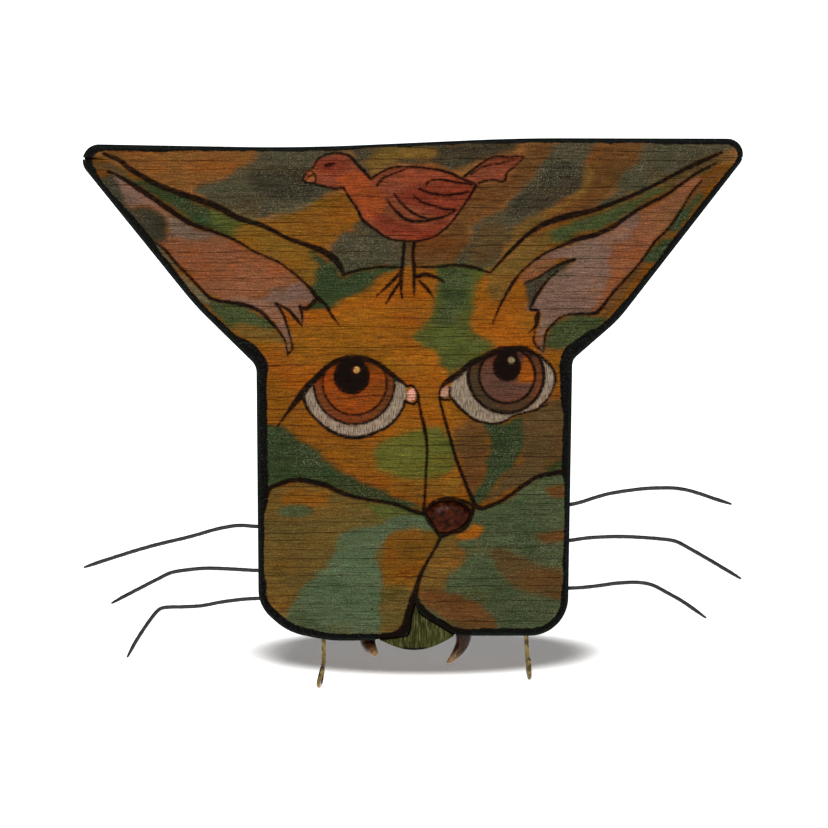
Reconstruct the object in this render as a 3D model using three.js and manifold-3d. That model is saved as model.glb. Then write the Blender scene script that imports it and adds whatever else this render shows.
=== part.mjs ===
// A painted wooden cat head that hangs on a wall and carries keys on two brass screw hooks.
// Millimetres. The pieces are modelled upright, x to the right, y up and z towards the viewer, and the
// exported group turns them so that +Z is up and the face looks along -Y. The origin is the point on the
// wall where the hanging nail stands: the wall is the plane z = 0, and the ring rests on the nail at y = 0.

import * as THREE from "three";
import { mergeVertices } from "three/addons/utils/BufferGeometryUtils.js";
import Module from "manifold-3d";

const wasm = await Module();
wasm.setup();

// ---- Driving dimensions ----

const GAP = 0.3; // between pieces that are glued or pushed into each other

// Two rubber bumpers keep the board level with the ring.
const BUMPER = { radius: 6, height: 4, x: 56, y: -180 };

const BOARD = {
  back: BUMPER.height,
  thickness: 19,
  edge: 1.5, // rounding of the front and back edges
  edgeSteps: 2,
};
BOARD.front = BOARD.back + BOARD.thickness;
BOARD.middle = BOARD.back + BOARD.thickness / 2;

// The head's outline, clockwise from the left ear tip: x, y and the radius of each corner.
const HEAD_CORNERS = [
  [-160.3, 27.7, 7.6],
  [-52.4, 25.8, 900],
  [48.8, 30.3, 900],
  [159.2, 30.0, 7.3],
  [94.6, -53.4, 60],
  [73.5, -71.8, 5],
  [71.5, -199.3, 18],
  [22, -199.3, 60],
  [-15.6, -201.5, 60],
  [-38.6, -201.6, 60],
  [-57.9, -197.6, 27],
  [-71.4, -185.6, 17],
  [-72.2, -74.5, 7],
  [-100.3, -46.9, 140],
];

// Drying crack in the front of the left ear tip.
const EAR_SPLIT = { tip: -153, root: -137.5, y: 21, width: 0.9, fall: 0.7, depth: 14 };

// The pocket between the cheeks, from its lower left corner over its top to its lower right corner.
const MOUTH = [
  [-17.4, -200.7],
  [-7.4, -199.8],
  [-2.9, -199.2],
  [-1.5, -196.8],
  [-0.9, -190.5],
  [0.9, -184.2],
  [3.0, -188.4],
  [7.8, -191.7],
  [15.8, -196.6],
  [20.4, -198.6],
];
const MOUTH_DEPTH = 9;
const CHIN = {
  thickness: 6.4,
  leftEnd: [-15.4, -201.2],
  rightEnd: [19.0, -199.3],
  lowest: -205.9,
  middle: 0.5,
  inset: 0.45, // from the cheeks, both across and down
};
const BELOW = -214; // a height below the head, where what is open downwards is closed

const NOSE = { recess: 1.5, height: 3.6, dome: 2.4, shrink: 2.6 };
const NOSE_OUTLINE = [
  [6.0, -142.2],
  [9.2, -138.4],
  [15.2, -136.5],
  [20.8, -137.3],
  [25.6, -140.4],
  [26.4, -142.8],
  [24.6, -146.6],
  [20.4, -149.9],
  [14.4, -151.6],
  [11.6, -150.8],
  [8.0, -146.0],
];

const WHISKER = { radius: 0.95, tipRadius: 0.6, root: 12, sides: 8, step: 3.2, taper: 5 };
// Each whisker's bends, from where it leaves the board's edge to its tip.
const WHISKERS = {
  whisker_left_top: [
    [-72.6, -149.2],
    [-80.3, -148.7],
    [-89.6, -150.1],
    [-102.4, -153.7],
    [-121.9, -158.5],
    [-141.4, -164.5],
    [-152.4, -168.2],
  ],
  whisker_left_middle: [
    [-72.3, -169.6],
    [-83.1, -169.0],
    [-96.0, -168.6],
    [-105.0, -169.4],
    [-112.2, -170.7],
    [-118.0, -173.5],
    [-132.9, -181.2],
    [-139.7, -184.9],
  ],
  whisker_left_bottom: [
    [-72.1, -182.6],
    [-79.7, -183.1],
    [-89.5, -184.4],
    [-97.3, -185.9],
    [-106.4, -186.5],
    [-114.1, -186.7],
    [-117.1, -187.4],
    [-119.3, -189.4],
    [-123.8, -195.5],
    [-128.4, -202.6],
    [-132.4, -210.0],
  ],
  whisker_right_top: [
    [72.0, -139.1],
    [77.6, -137.9],
    [84.4, -135.7],
    [91.2, -133.9],
    [105.4, -131.8],
    [114.9, -131.3],
    [121.7, -131.5],
    [128.0, -132.6],
    [140.6, -136.7],
    [147.4, -138.9],
  ],
  whisker_right_middle: [
    [71.8, -155.7],
    [80.9, -154.5],
    [95.9, -153.9],
    [114.9, -155.0],
    [121.5, -156.1],
    [128.5, -159.7],
    [143.3, -168.3],
    [151.9, -173.5],
  ],
  whisker_right_bottom: [
    [71.5, -177.8],
    [79.6, -177.4],
    [87.8, -176.4],
    [94.6, -175.5],
    [104.7, -175.2],
    [110.9, -176.4],
    [117.6, -179.9],
    [125.0, -184.1],
    [135.8, -191.7],
  ],
};

const FANG = { baseRadius: 3.8, waist: 0.66, peg: 9, collar: 0.6, sides: 14, rings: 10 };
// Each fang's root on the underside of the board, how far its tip leans across, down and forward, and its radius.
const FANGS = {
  fang_left: { x: -20.9, y: -201.3, across: 4.0, down: 6.4, forward: 8.5, tip: 0.9 },
  fang_right: { x: 23.4, y: -199.2, across: -7.7, down: 13.2, forward: 3.5, tip: 0.45 },
};

const HOOK = {
  wire: 1.1, // wire radius
  throat: 4.0, // inner radius of the bend
  legAboveBend: 4.6, // how far the front leg rises above the bend's centre
  screw: 14, // length in the board
  threads: 7,
  threadRadius: 1.45,
  coreRadius: 1.0,
  sides: 12,
  bendSteps: 14,
};
// Each hook's place on the underside, how far it stands out of it, which way it has been screwed round in
// degrees, and how it has been bent sideways: below the kink by slope for each millimetre, and back at its
// open end by tuck.
const HOOKS = {
  hook_left: { x: -41.4, y: -201.5, drop: 22.2, turn: -8, kink: -10, slope: 0.12, tuck: 1.5 },
  hook_right: { x: 52.4, y: -199.2, drop: 20.8, turn: 2, kink: 0, slope: -0.06, tuck: 0 },
};

// The ring's lean is in degrees.
const RING = { wire: 0.9, halfWidth: 8, bar: -13.6, corner: 3, z: 2.05, lean: 3, sides: 10 };
const STRAP = { width: 12, thickness: 0.8, bore: 1.1, length: 27, returnLength: 5, seat: 0.05 };
const SCREW = {
  headRadius: 2.7,
  headHeight: 1.7,
  shankRadius: 1.3,
  shankLength: 11,
  slotWidth: 0.8,
  slotDepth: 0.8,
  slotLength: 3.4,
  offsets: { hanger_screw_upper: -8.4, hanger_screw_lower: -21.4 }, // below the ring's bar
};

// ---- Materials ----

const metal = (color, roughness) => new THREE.MeshStandardMaterial({ color, roughness, metalness: 1 });
const coat = (color, roughness) => new THREE.MeshStandardMaterial({ color, roughness, metalness: 0 });

const paintedWood = coat(0x8a5a22, 0.55);
const chinPaint = coat(0x4d4f22, 0.7);
const noseLacquer = coat(0x3a1409, 0.2);
const horn = coat(0x3b2413, 0.25);
const blackWire = new THREE.MeshStandardMaterial({ color: 0x1d1c1b, roughness: 0.6, metalness: 0.6 });
const brass = metal(0x9a8450, 0.35);
const zinc = metal(0xb9b7b0, 0.35);
const rubber = coat(0x2c2a28, 0.8);

// ---- Solids: three.js geometry to manifold-3d and back ----

function solid(geometry) {
  const bare = geometry.index ? geometry.toNonIndexed() : geometry.clone();
  bare.deleteAttribute("normal");
  bare.deleteAttribute("uv");
  const merged = mergeVertices(bare, 1e-4);
  return new wasm.Manifold(
    new wasm.Mesh({
      numProp: 3,
      vertProperties: new Float32Array(merged.attributes.position.array),
      triVerts: new Uint32Array(merged.index.array),
    }),
  );
}

function geometryOf(body) {
  const mesh = body.getMesh();
  const geometry = new THREE.BufferGeometry();
  geometry.setAttribute("position", new THREE.BufferAttribute(new Float32Array(mesh.vertProperties), 3));
  geometry.setIndex(new THREE.BufferAttribute(new Uint32Array(mesh.triVerts), 1));
  geometry.computeVertexNormals();
  return geometry;
}

// ---- Outlines, slabs, holes and swept bodies ----

const point = ([x, y]) => new THREE.Vector2(x, y);

// A closed outline with each corner rounded by an arc that touches both of its edges.
function roundedShape(corners) {
  const shape = new THREE.Shape();
  corners.forEach(([x, y, radius], i) => {
    const here = new THREE.Vector2(x, y);
    const before = point(corners.at(i - 1)).sub(here).normalize();
    const after = point(corners[(i + 1) % corners.length]).sub(here).normalize();
    const half = Math.acos(THREE.MathUtils.clamp(before.dot(after), -1, 1)) / 2;
    const reach = radius / Math.tan(half);
    const turnsRight = before.cross(after) > 0;
    const centre = before
      .clone()
      .add(after)
      .normalize()
      .multiplyScalar(radius / Math.sin(half))
      .add(here);
    const from = before.multiplyScalar(reach).add(here).sub(centre);
    const to = after.multiplyScalar(reach).add(here).sub(centre);
    shape.absarc(centre.x, centre.y, radius, from.angle(), to.angle(), turnsRight);
  });
  return shape;
}

function smoothShape(points) {
  return new THREE.Shape(
    new THREE.CatmullRomCurve3(
      points.map(([x, y]) => new THREE.Vector3(x, y, 0)),
      true,
    )
      .getSpacedPoints(points.length * 3)
      .slice(0, -1)
      .map(({ x, y }) => new THREE.Vector2(x, y)),
  );
}

// A flat piece from z = back to z = front.
function slab(shape, back, front, curveSegments = 8) {
  return new THREE.ExtrudeGeometry(shape, {
    depth: front - back,
    bevelEnabled: false,
    curveSegments,
  }).translate(0, 0, back);
}

// A round bar of the given length, centred on the origin along y, turned along the axis and then moved.
function bar(radius, length, axis, centre, sides = 16) {
  const geometry = new THREE.CylinderGeometry(radius, radius, length, sides);
  if (axis === "x") geometry.rotateZ(Math.PI / 2);
  if (axis === "z") geometry.rotateX(Math.PI / 2);
  return geometry.translate(...centre);
}

// A closed round body along a flat curve. stations lists [distance along the curve, radius], and normal
// is the direction square to the plane that the curve lies in.
function sweep(curve, stations, sides, normal) {
  const length = curve.getLength();
  const profile = [
    new THREE.Vector2(0, stations[0][0]),
    ...stations.map(([along, radius]) => new THREE.Vector2(radius, along)),
    new THREE.Vector2(0, stations.at(-1)[0]),
  ];
  const geometry = new THREE.LatheGeometry(profile, sides);
  const places = geometry.getAttribute("position");
  for (let i = 0; i < places.count; i++) {
    const share = THREE.MathUtils.clamp(places.getY(i) / length, 0, 1);
    const tangent = curve.getTangentAt(share);
    const side = tangent.clone().cross(normal);
    const place = curve
      .getPointAt(share)
      .addScaledVector(side, places.getX(i))
      .addScaledVector(normal, places.getZ(i));
    places.setXYZ(i, place.x, place.y, place.z);
  }
  return geometry;
}

const evenStations = (length, count, radiusAt) =>
  Array.from({ length: count + 1 }, (_, i) => [(length * i) / count, radiusAt(i / count)]);

// ---- The board ----

function headSlab() {
  const { edge, edgeSteps, thickness, back } = BOARD;
  return new THREE.ExtrudeGeometry(roundedShape(HEAD_CORNERS), {
    depth: thickness - 2 * edge,
    bevelThickness: edge,
    bevelSize: edge,
    bevelOffset: -edge,
    bevelSegments: edgeSteps,
    curveSegments: 5,
  }).translate(0, 0, back + edge);
}

function earSplit() {
  const { tip, root, y, width, fall, depth } = EAR_SPLIT;
  const wedge = new THREE.Shape([
    new THREE.Vector2(tip - 4, y + width / 2),
    new THREE.Vector2(tip - 4, y - width / 2),
    new THREE.Vector2(root, y - fall),
  ]);
  return slab(wedge, BOARD.front - depth, BOARD.front + 1);
}

// The cheeks' inner edges, closed well below the board so that the pocket is open downwards.
function mouthShape() {
  const open = [
    [MOUTH.at(-1)[0] + 0.6, BELOW],
    [MOUTH[0][0] - 0.6, BELOW],
  ];
  return new THREE.Shape([...MOUTH, ...open].map(point));
}

function whiskerHole(points) {
  const [x, y] = points[0];
  const inwards = -Math.sign(x);
  const depth = WHISKER.root + GAP;
  const length = depth + 4;
  const centre = x + inwards * (depth - length / 2);
  return bar(WHISKER.radius + GAP, length, "x", [centre, y, BOARD.middle], 10);
}

function downHole(x, y, radius, depth) {
  const length = depth + 6;
  return bar(radius, length, "y", [x, y + depth - length / 2, BOARD.middle]);
}

function screwHole(offset) {
  const length = SCREW.shankLength + 2;
  return bar(SCREW.shankRadius + GAP, length, "z", [0, RING.bar + offset, BOARD.back + length / 2 - 2], 12);
}

function headBoard() {
  const cuts = [
    earSplit(),
    slab(mouthShape(), BOARD.front - MOUTH_DEPTH, BOARD.front + 2),
    slab(smoothShape(NOSE_OUTLINE), BOARD.front - NOSE.recess, BOARD.front + 2),
    ...Object.values(WHISKERS).map(whiskerHole),
    ...Object.values(FANGS).map(({ x, y }) => downHole(x, y, FANG.baseRadius + GAP, FANG.peg + GAP)),
    ...Object.values(HOOKS).map(({ x, y }) => downHole(x, y, HOOK.threadRadius + GAP, HOOK.screw + GAP)),
    ...Object.values(SCREW.offsets).map(screwHole),
  ];
  return geometryOf(cuts.reduce((body, cut) => body.subtract(solid(cut)), solid(headSlab())));
}

// ---- Chin and nose ----

// The chin fills the mouth pocket with a gap all round, and its round lower edge hangs below the cheeks.
function chin() {
  const back = BOARD.front - MOUTH_DEPTH + GAP;
  const { leftEnd, rightEnd, lowest, middle, inset, thickness } = CHIN;
  const [peak] = MOUTH.reduce((best, corner) => (corner[1] > best[1] ? corner : best));
  const shape = new THREE.Shape();
  shape.moveTo(...leftEnd);
  MOUTH.slice(1, -1).forEach(([x, y]) => {
    shape.lineTo(x + Math.sign(peak - x) * inset, y - inset);
  });
  shape.lineTo(...rightEnd);
  shape.bezierCurveTo(12, -203.6, 7, lowest, middle, lowest);
  shape.bezierCurveTo(-6, lowest, -10, -203.6, ...leftEnd);
  return slab(shape, back, back + thickness);
}

// A lacquered button with a rounded front: a slab with rounded edges whose back half is cut off.
function nose() {
  const back = BOARD.front - NOSE.recess + GAP;
  const rounded = new THREE.ExtrudeGeometry(smoothShape(NOSE_OUTLINE), {
    depth: NOSE.height - NOSE.dome,
    bevelThickness: NOSE.dome,
    bevelSize: NOSE.shrink,
    bevelOffset: -NOSE.shrink - GAP,
    bevelSegments: 4,
  }).translate(0, 0, back);
  const behind = new THREE.BoxGeometry(60, 60, 20).translate(16, -144, back - 10);
  return geometryOf(solid(rounded).subtract(solid(behind)));
}

// ---- Whiskers, fangs and hooks ----

function whisker(points) {
  const [x, y] = points[0];
  const root = [x - Math.sign(x) * WHISKER.root, y];
  const curve = new THREE.CatmullRomCurve3(
    [root, ...points].map(([px, py]) => new THREE.Vector3(px, py, BOARD.middle)),
    false,
    "centripetal",
  );
  const length = curve.getLength();
  const stations = evenStations(length, Math.round(length / WHISKER.step), (share) => {
    const toTip = length * (1 - share);
    return THREE.MathUtils.mapLinear(
      Math.min(toTip, WHISKER.taper),
      0,
      WHISKER.taper,
      WHISKER.tipRadius,
      WHISKER.radius,
    );
  });
  return sweep(curve, stations, WHISKER.sides, new THREE.Vector3(0, 0, 1));
}

// A curved tooth: a round peg in the board, then a taper that leans across and forwards to its tip.
function fang({ across, down, forward, tip }) {
  const lean = new THREE.Vector3(across, 0, forward);
  const root = new THREE.Vector3(0, -FANG.collar, 0);
  const path = new THREE.CurvePath();
  path.add(new THREE.LineCurve3(new THREE.Vector3(0, FANG.peg, 0), root));
  path.add(
    new THREE.CubicBezierCurve3(
      root,
      new THREE.Vector3(0, -0.4 * down, 0),
      new THREE.Vector3(0, -0.7 * down, 0).addScaledVector(lean, 0.4),
      new THREE.Vector3(0, -down, 0).add(lean),
    ),
  );
  const length = path.getLength();
  const straight = FANG.peg + FANG.collar;
  const stations = [
    [0, FANG.baseRadius * 0.85],
    [1, FANG.baseRadius],
    ...evenStations(length - straight, FANG.rings, (share) =>
      THREE.MathUtils.lerp(tip, FANG.baseRadius, (1 - share) ** FANG.waist),
    ).map(([along, radius]) => [straight + along, radius]),
  ];
  const normal = lean.clone().normalize().cross(new THREE.Vector3(0, 1, 0));
  return sweep(path, stations, FANG.sides, normal);
}

// Bends a hook out of its plane, as years of use have done.
function crook(geometry, { drop, kink, slope, tuck }) {
  const span = 2 * (HOOK.throat + HOOK.wire);
  const rise = span / 2 + HOOK.legAboveBend;
  const points = geometry.getAttribute("position");
  for (let i = 0; i < points.count; i++) {
    const y = points.getY(i);
    const forward = THREE.MathUtils.clamp(points.getZ(i) / span, 0, 1);
    const up = THREE.MathUtils.clamp((y + drop - HOOK.wire) / rise, 0, 1);
    points.setX(i, points.getX(i) + slope * Math.min(y - kink, 0) + tuck * forward * up);
  }
  return geometry;
}

// The hook's wire starts in the plane x = 0: down out of the board, round the bend and up to its open end.
function hook(place) {
  const { drop } = place;
  const bend = HOOK.throat + HOOK.wire;
  const bendHeight = -drop + bend + HOOK.wire;
  const path = new THREE.CurvePath();
  const at = (y, z) => new THREE.Vector3(0, y, z);
  const along = (angle) => at(bendHeight - bend * Math.sin(angle), bend - bend * Math.cos(angle));
  path.add(new THREE.LineCurve3(at(HOOK.screw, 0), at(bendHeight, 0)));
  for (let i = 0; i < HOOK.bendSteps; i++) {
    const step = Math.PI / HOOK.bendSteps;
    path.add(new THREE.LineCurve3(along(i * step), along((i + 1) * step)));
  }
  path.add(new THREE.LineCurve3(at(bendHeight, 2 * bend), at(bendHeight + HOOK.legAboveBend, 2 * bend)));

  const length = path.getLength();
  const pitch = (HOOK.screw - 2) / HOOK.threads;
  const stations = [[0, 0.3]];
  for (let i = 0; i < HOOK.threads; i++) {
    stations.push([2 + i * pitch, HOOK.coreRadius], [2 + (i + 0.5) * pitch, HOOK.threadRadius]);
  }
  const bendStart = HOOK.screw - bendHeight;
  stations.push([HOOK.screw, HOOK.wire], [bendStart, HOOK.wire]);
  for (let i = 1; i <= HOOK.bendSteps; i++) {
    stations.push([bendStart + (i * (length - HOOK.legAboveBend - bendStart)) / HOOK.bendSteps, HOOK.wire]);
  }
  stations.push([length - 0.5, HOOK.wire], [length, HOOK.wire * 0.6]);
  return crook(sweep(path, stations, HOOK.sides, new THREE.Vector3(1, 0, 0)), place);
}

// ---- Hanger: strap, ring and its screws ----

// Half of the ring's wire, from the middle of its straight bar to the middle of its arch.
function halfRing(side) {
  const { halfWidth, bar: barY, corner, wire, sides, z } = RING;
  const top = wire; // the arch rests on the nail at y = 0
  const outwards = (x) => side * x;
  const path = new THREE.CurvePath();
  const v = (x, y) => new THREE.Vector3(outwards(x), y, z);
  const overlap = -0.2;
  path.add(new THREE.LineCurve3(v(overlap, barY), v(halfWidth - corner, barY)));
  path.add(
    new THREE.QuadraticBezierCurve3(
      v(halfWidth - corner, barY),
      v(halfWidth, barY),
      v(halfWidth, barY + corner),
    ),
  );
  path.add(
    new THREE.CubicBezierCurve3(
      v(halfWidth, barY + corner),
      v(halfWidth, top - 3.5),
      v(halfWidth * 0.55, top),
      v(0, top),
    ),
  );
  path.add(new THREE.LineCurve3(v(0, top), v(overlap, top)));
  const length = path.getLength();
  return sweep(path, evenStations(length, 26, () => wire), sides, new THREE.Vector3(0, 0, 1));
}

// The ring stands up from its bar and leans back against the board.
function ring() {
  return geometryOf(solid(halfRing(1)).add(solid(halfRing(-1))))
    .translate(0, -RING.bar, -RING.z)
    .rotateX(THREE.MathUtils.degToRad(RING.lean))
    .translate(0, RING.bar, RING.z);
}

// One strip of steel: a flat tail with two holes, folded round the ring's bar and back onto itself.
function strap() {
  const { width, thickness, bore, length, returnLength, seat } = STRAP;
  const outer = bore + thickness;
  const front = BOARD.back - seat;
  const end = RING.bar - length;
  const leaf = front - 2 * thickness;
  const profile = new THREE.Shape(); // seen from the side: y across and z up
  profile.moveTo(end, front);
  profile.lineTo(end, front - thickness);
  profile.lineTo(RING.bar - returnLength, front - thickness);
  profile.lineTo(RING.bar - returnLength, leaf);
  profile.lineTo(RING.bar - returnLength / 2 - 1, leaf);
  profile.absarc(RING.bar, RING.z, outer, -Math.PI / 2 - 0.5, Math.PI / 2, false);
  profile.holes.push(new THREE.Path().absarc(RING.bar, RING.z, bore, 0, 2 * Math.PI, true));
  const sideways = new THREE.Matrix4().makeBasis(
    new THREE.Vector3(0, 1, 0),
    new THREE.Vector3(0, 0, 1),
    new THREE.Vector3(1, 0, 0),
  );
  const folded = slab(profile, -width / 2, width / 2, 12).applyMatrix4(sideways);
  const plan = roundedShape([
    [-width, RING.bar + 9, 1],
    [width, RING.bar + 9, 1],
    [width / 2 + 0.01, end - 0.01, 4],
    [-width / 2 - 0.01, end - 0.01, 4],
  ]);
  let body = solid(folded).intersect(solid(slab(plan, -3, BOARD.back + 3)));
  Object.values(SCREW.offsets).forEach((offset) => {
    const hole = bar(SCREW.shankRadius + GAP, 6, "z", [0, RING.bar + offset, front], 16);
    body = body.subtract(solid(hole));
  });
  return geometryOf(body);
}

// A pan-head wood screw along z, its head towards the wall, with a cross slot.
function screw() {
  const { headRadius, headHeight, shankRadius, shankLength, slotWidth, slotDepth, slotLength } = SCREW;
  const profile = [
    [0, 0],
    [headRadius * 0.55, 0.12],
    [headRadius * 0.9, headHeight * 0.45],
    [headRadius, headHeight],
    [shankRadius, headHeight],
    [shankRadius, headHeight + shankLength - 2.5],
    [0, headHeight + shankLength],
  ].map(point);
  const turned = new THREE.LatheGeometry(profile, 18).rotateX(Math.PI / 2);
  const slot = (x, y) => new THREE.BoxGeometry(x, y, 2 * slotDepth);
  const cross = solid(slot(slotLength, slotWidth)).add(solid(slot(slotWidth, slotLength)));
  return geometryOf(solid(turned).subtract(cross));
}

// ---- The assembly ----

function named(name, geometry, material, place = [0, 0, 0]) {
  const mesh = new THREE.Mesh(geometry, material);
  mesh.name = name;
  mesh.position.set(...place);
  return mesh;
}

const upright = new THREE.Group();
upright.rotation.x = Math.PI / 2;
upright.add(
  named("head_board", headBoard(), paintedWood),
  named("chin", chin(), chinPaint),
  named("nose", nose(), noseLacquer),
);
for (const [name, points] of Object.entries(WHISKERS)) {
  upright.add(named(name, whisker(points), blackWire));
}
for (const [name, tooth] of Object.entries(FANGS)) {
  upright.add(named(name, fang(tooth), horn, [tooth.x, tooth.y, BOARD.middle]));
}
for (const [name, place] of Object.entries(HOOKS)) {
  const mesh = named(name, hook(place), brass, [place.x, place.y, BOARD.middle]);
  mesh.rotation.y = THREE.MathUtils.degToRad(place.turn);
  upright.add(mesh);
}
upright.add(named("hanger_strap", strap(), zinc), named("hanger_ring", ring(), zinc));
const headSeat = BOARD.back - STRAP.seat - STRAP.thickness - SCREW.headHeight - 0.05;
for (const [name, offset] of Object.entries(SCREW.offsets)) {
  upright.add(named(name, screw(), zinc, [0, RING.bar + offset, headSeat]));
}
const bumperHeight = BUMPER.height - 0.05;
for (const [name, side] of Object.entries({ wall_bumper_left: -1, wall_bumper_right: 1 })) {
  const bumper = bar(BUMPER.radius, bumperHeight, "z", [0, 0, bumperHeight / 2], 32);
  upright.add(named(name, bumper, rubber, [side * BUMPER.x, BUMPER.y, 0]));
}

const catHead = new THREE.Group();
catHead.name = "cat_head_key_rack";
catHead.add(upright);

export default catHead;
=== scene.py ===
"""Looks of the painted wooden cat head that carries keys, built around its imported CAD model.

The board's front is drawn in millimetres on the plane of the wall: x to the viewer's right and z up from the
hanging nail. Blender objects are in metres.
"""

import math

import bmesh
import bpy
import numpy as np
from mathutils import Matrix, Vector
from mathutils.geometry import delaunay_2d_cdt


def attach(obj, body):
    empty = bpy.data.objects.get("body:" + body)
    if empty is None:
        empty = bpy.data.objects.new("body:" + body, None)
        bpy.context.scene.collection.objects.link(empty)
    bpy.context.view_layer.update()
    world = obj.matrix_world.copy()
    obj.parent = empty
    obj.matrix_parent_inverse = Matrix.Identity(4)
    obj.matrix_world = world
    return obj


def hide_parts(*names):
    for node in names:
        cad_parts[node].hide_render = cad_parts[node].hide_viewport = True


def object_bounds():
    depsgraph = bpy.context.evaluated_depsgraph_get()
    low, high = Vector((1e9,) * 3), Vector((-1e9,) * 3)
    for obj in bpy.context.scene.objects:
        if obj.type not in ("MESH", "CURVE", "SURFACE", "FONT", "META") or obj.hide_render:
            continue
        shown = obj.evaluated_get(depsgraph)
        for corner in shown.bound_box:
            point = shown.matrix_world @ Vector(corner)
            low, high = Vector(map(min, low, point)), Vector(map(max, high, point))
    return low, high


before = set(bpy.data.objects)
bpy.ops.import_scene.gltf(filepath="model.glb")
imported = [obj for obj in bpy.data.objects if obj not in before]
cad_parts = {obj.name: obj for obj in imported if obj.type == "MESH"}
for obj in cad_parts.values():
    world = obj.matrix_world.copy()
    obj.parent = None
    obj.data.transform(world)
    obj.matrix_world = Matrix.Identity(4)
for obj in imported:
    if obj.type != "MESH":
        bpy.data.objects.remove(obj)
cad_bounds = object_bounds()
MM = 0.001

# ---- Dimensions shared with the CAD model, in millimetres ----

BACK = 4.0  # the board's back and front faces stand this far from the wall
FRONT = 23.0
MIDDLE = (BACK + FRONT) / 2
EDGE = 1.5  # rounding of the board's edges
MOUTH_FLOOR = FRONT - 9.0
NOSE_FLOOR = FRONT - 1.5

# The head's outline, clockwise from the left ear tip: x, z and the radius of each corner.
HEAD_CORNERS = [
    (-160.3, 27.7, 7.6), (-52.4, 25.8, 900), (48.8, 30.3, 900), (159.2, 30.0, 7.3), (94.6, -53.4, 60),
    (73.5, -71.8, 5), (71.5, -199.3, 18), (22, -199.3, 60), (-15.6, -201.5, 60), (-38.6, -201.6, 60),
    (-57.9, -197.6, 27), (-71.4, -185.6, 17), (-72.2, -74.5, 7), (-100.3, -46.9, 140),
]
MOUTH = [
    (-17.4, -200.7), (-7.4, -199.8), (-2.9, -199.2), (-1.5, -196.8), (-0.9, -190.5), (0.9, -184.2),
    (3.0, -188.4), (7.8, -191.7), (15.8, -196.6), (20.4, -198.6),
]
NOSE = [
    (6.0, -142.2), (9.2, -138.4), (15.2, -136.5), (20.8, -137.3), (25.6, -140.4), (26.4, -142.8),
    (24.6, -146.6), (20.4, -149.9), (14.4, -151.6), (11.6, -150.8), (8.0, -146.0),
]
WHISKERS = {
    "whisker_left_top": [
        (-72.6, -149.2), (-80.3, -148.7), (-89.6, -150.1), (-102.4, -153.7), (-121.9, -158.5), (-141.4, -164.5),
        (-152.4, -168.2),
    ],
    "whisker_left_middle": [
        (-72.3, -169.6), (-83.1, -169.0), (-96.0, -168.6), (-105.0, -169.4), (-112.2, -170.7), (-118.0, -173.5),
        (-132.9, -181.2), (-139.7, -184.9),
    ],
    "whisker_left_bottom": [
        (-72.1, -182.6), (-79.7, -183.1), (-89.5, -184.4), (-97.3, -185.9), (-106.4, -186.5), (-114.1, -186.7),
        (-117.1, -187.4), (-119.3, -189.4), (-123.8, -195.5), (-128.4, -202.6), (-132.4, -210.0),
    ],
    "whisker_right_top": [
        (72.0, -139.1), (77.6, -137.9), (84.4, -135.7), (91.2, -133.9), (105.4, -131.8), (114.9, -131.3),
        (121.7, -131.5), (128.0, -132.6), (140.6, -136.7), (147.4, -138.9),
    ],
    "whisker_right_middle": [
        (71.8, -155.7), (80.9, -154.5), (95.9, -153.9), (114.9, -155.0), (121.5, -156.1), (128.5, -159.7),
        (143.3, -168.3), (151.9, -173.5),
    ],
    "whisker_right_bottom": [
        (71.5, -177.8), (79.6, -177.4), (87.8, -176.4), (94.6, -175.5), (104.7, -175.2), (110.9, -176.4),
        (117.6, -179.9), (125.0, -184.1), (135.8, -191.7),
    ],
}
WIRE = 0.95  # whisker wire radius
WHISKER_ROOT = 12.0
FANGS = {  # root x and z, the tip's lean across, down and forward, and its radius
    "fang_left": (-20.9, -201.3, 4.0, 6.4, 8.5, 0.9),
    "fang_right": (23.4, -199.2, -7.7, 13.2, 3.5, 0.45),
}
FANG_RADIUS = 3.8
FANG_PEG = 9.0
HOOKS = {  # x, z, how far it hangs down, its turn in degrees, and how it was bent: kink, slope and tuck
    "hook_left": (-41.4, -201.5, 22.2, -8, -10.0, 0.12, 1.5),
    "hook_right": (52.4, -199.2, 20.8, 2, 0.0, -0.06, 0.0),
}
HOOK_WIRE = 1.1
HOOK_BEND = 5.1
HOOK_LEG = 4.6
HOOK_SCREW = 14.0

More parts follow.
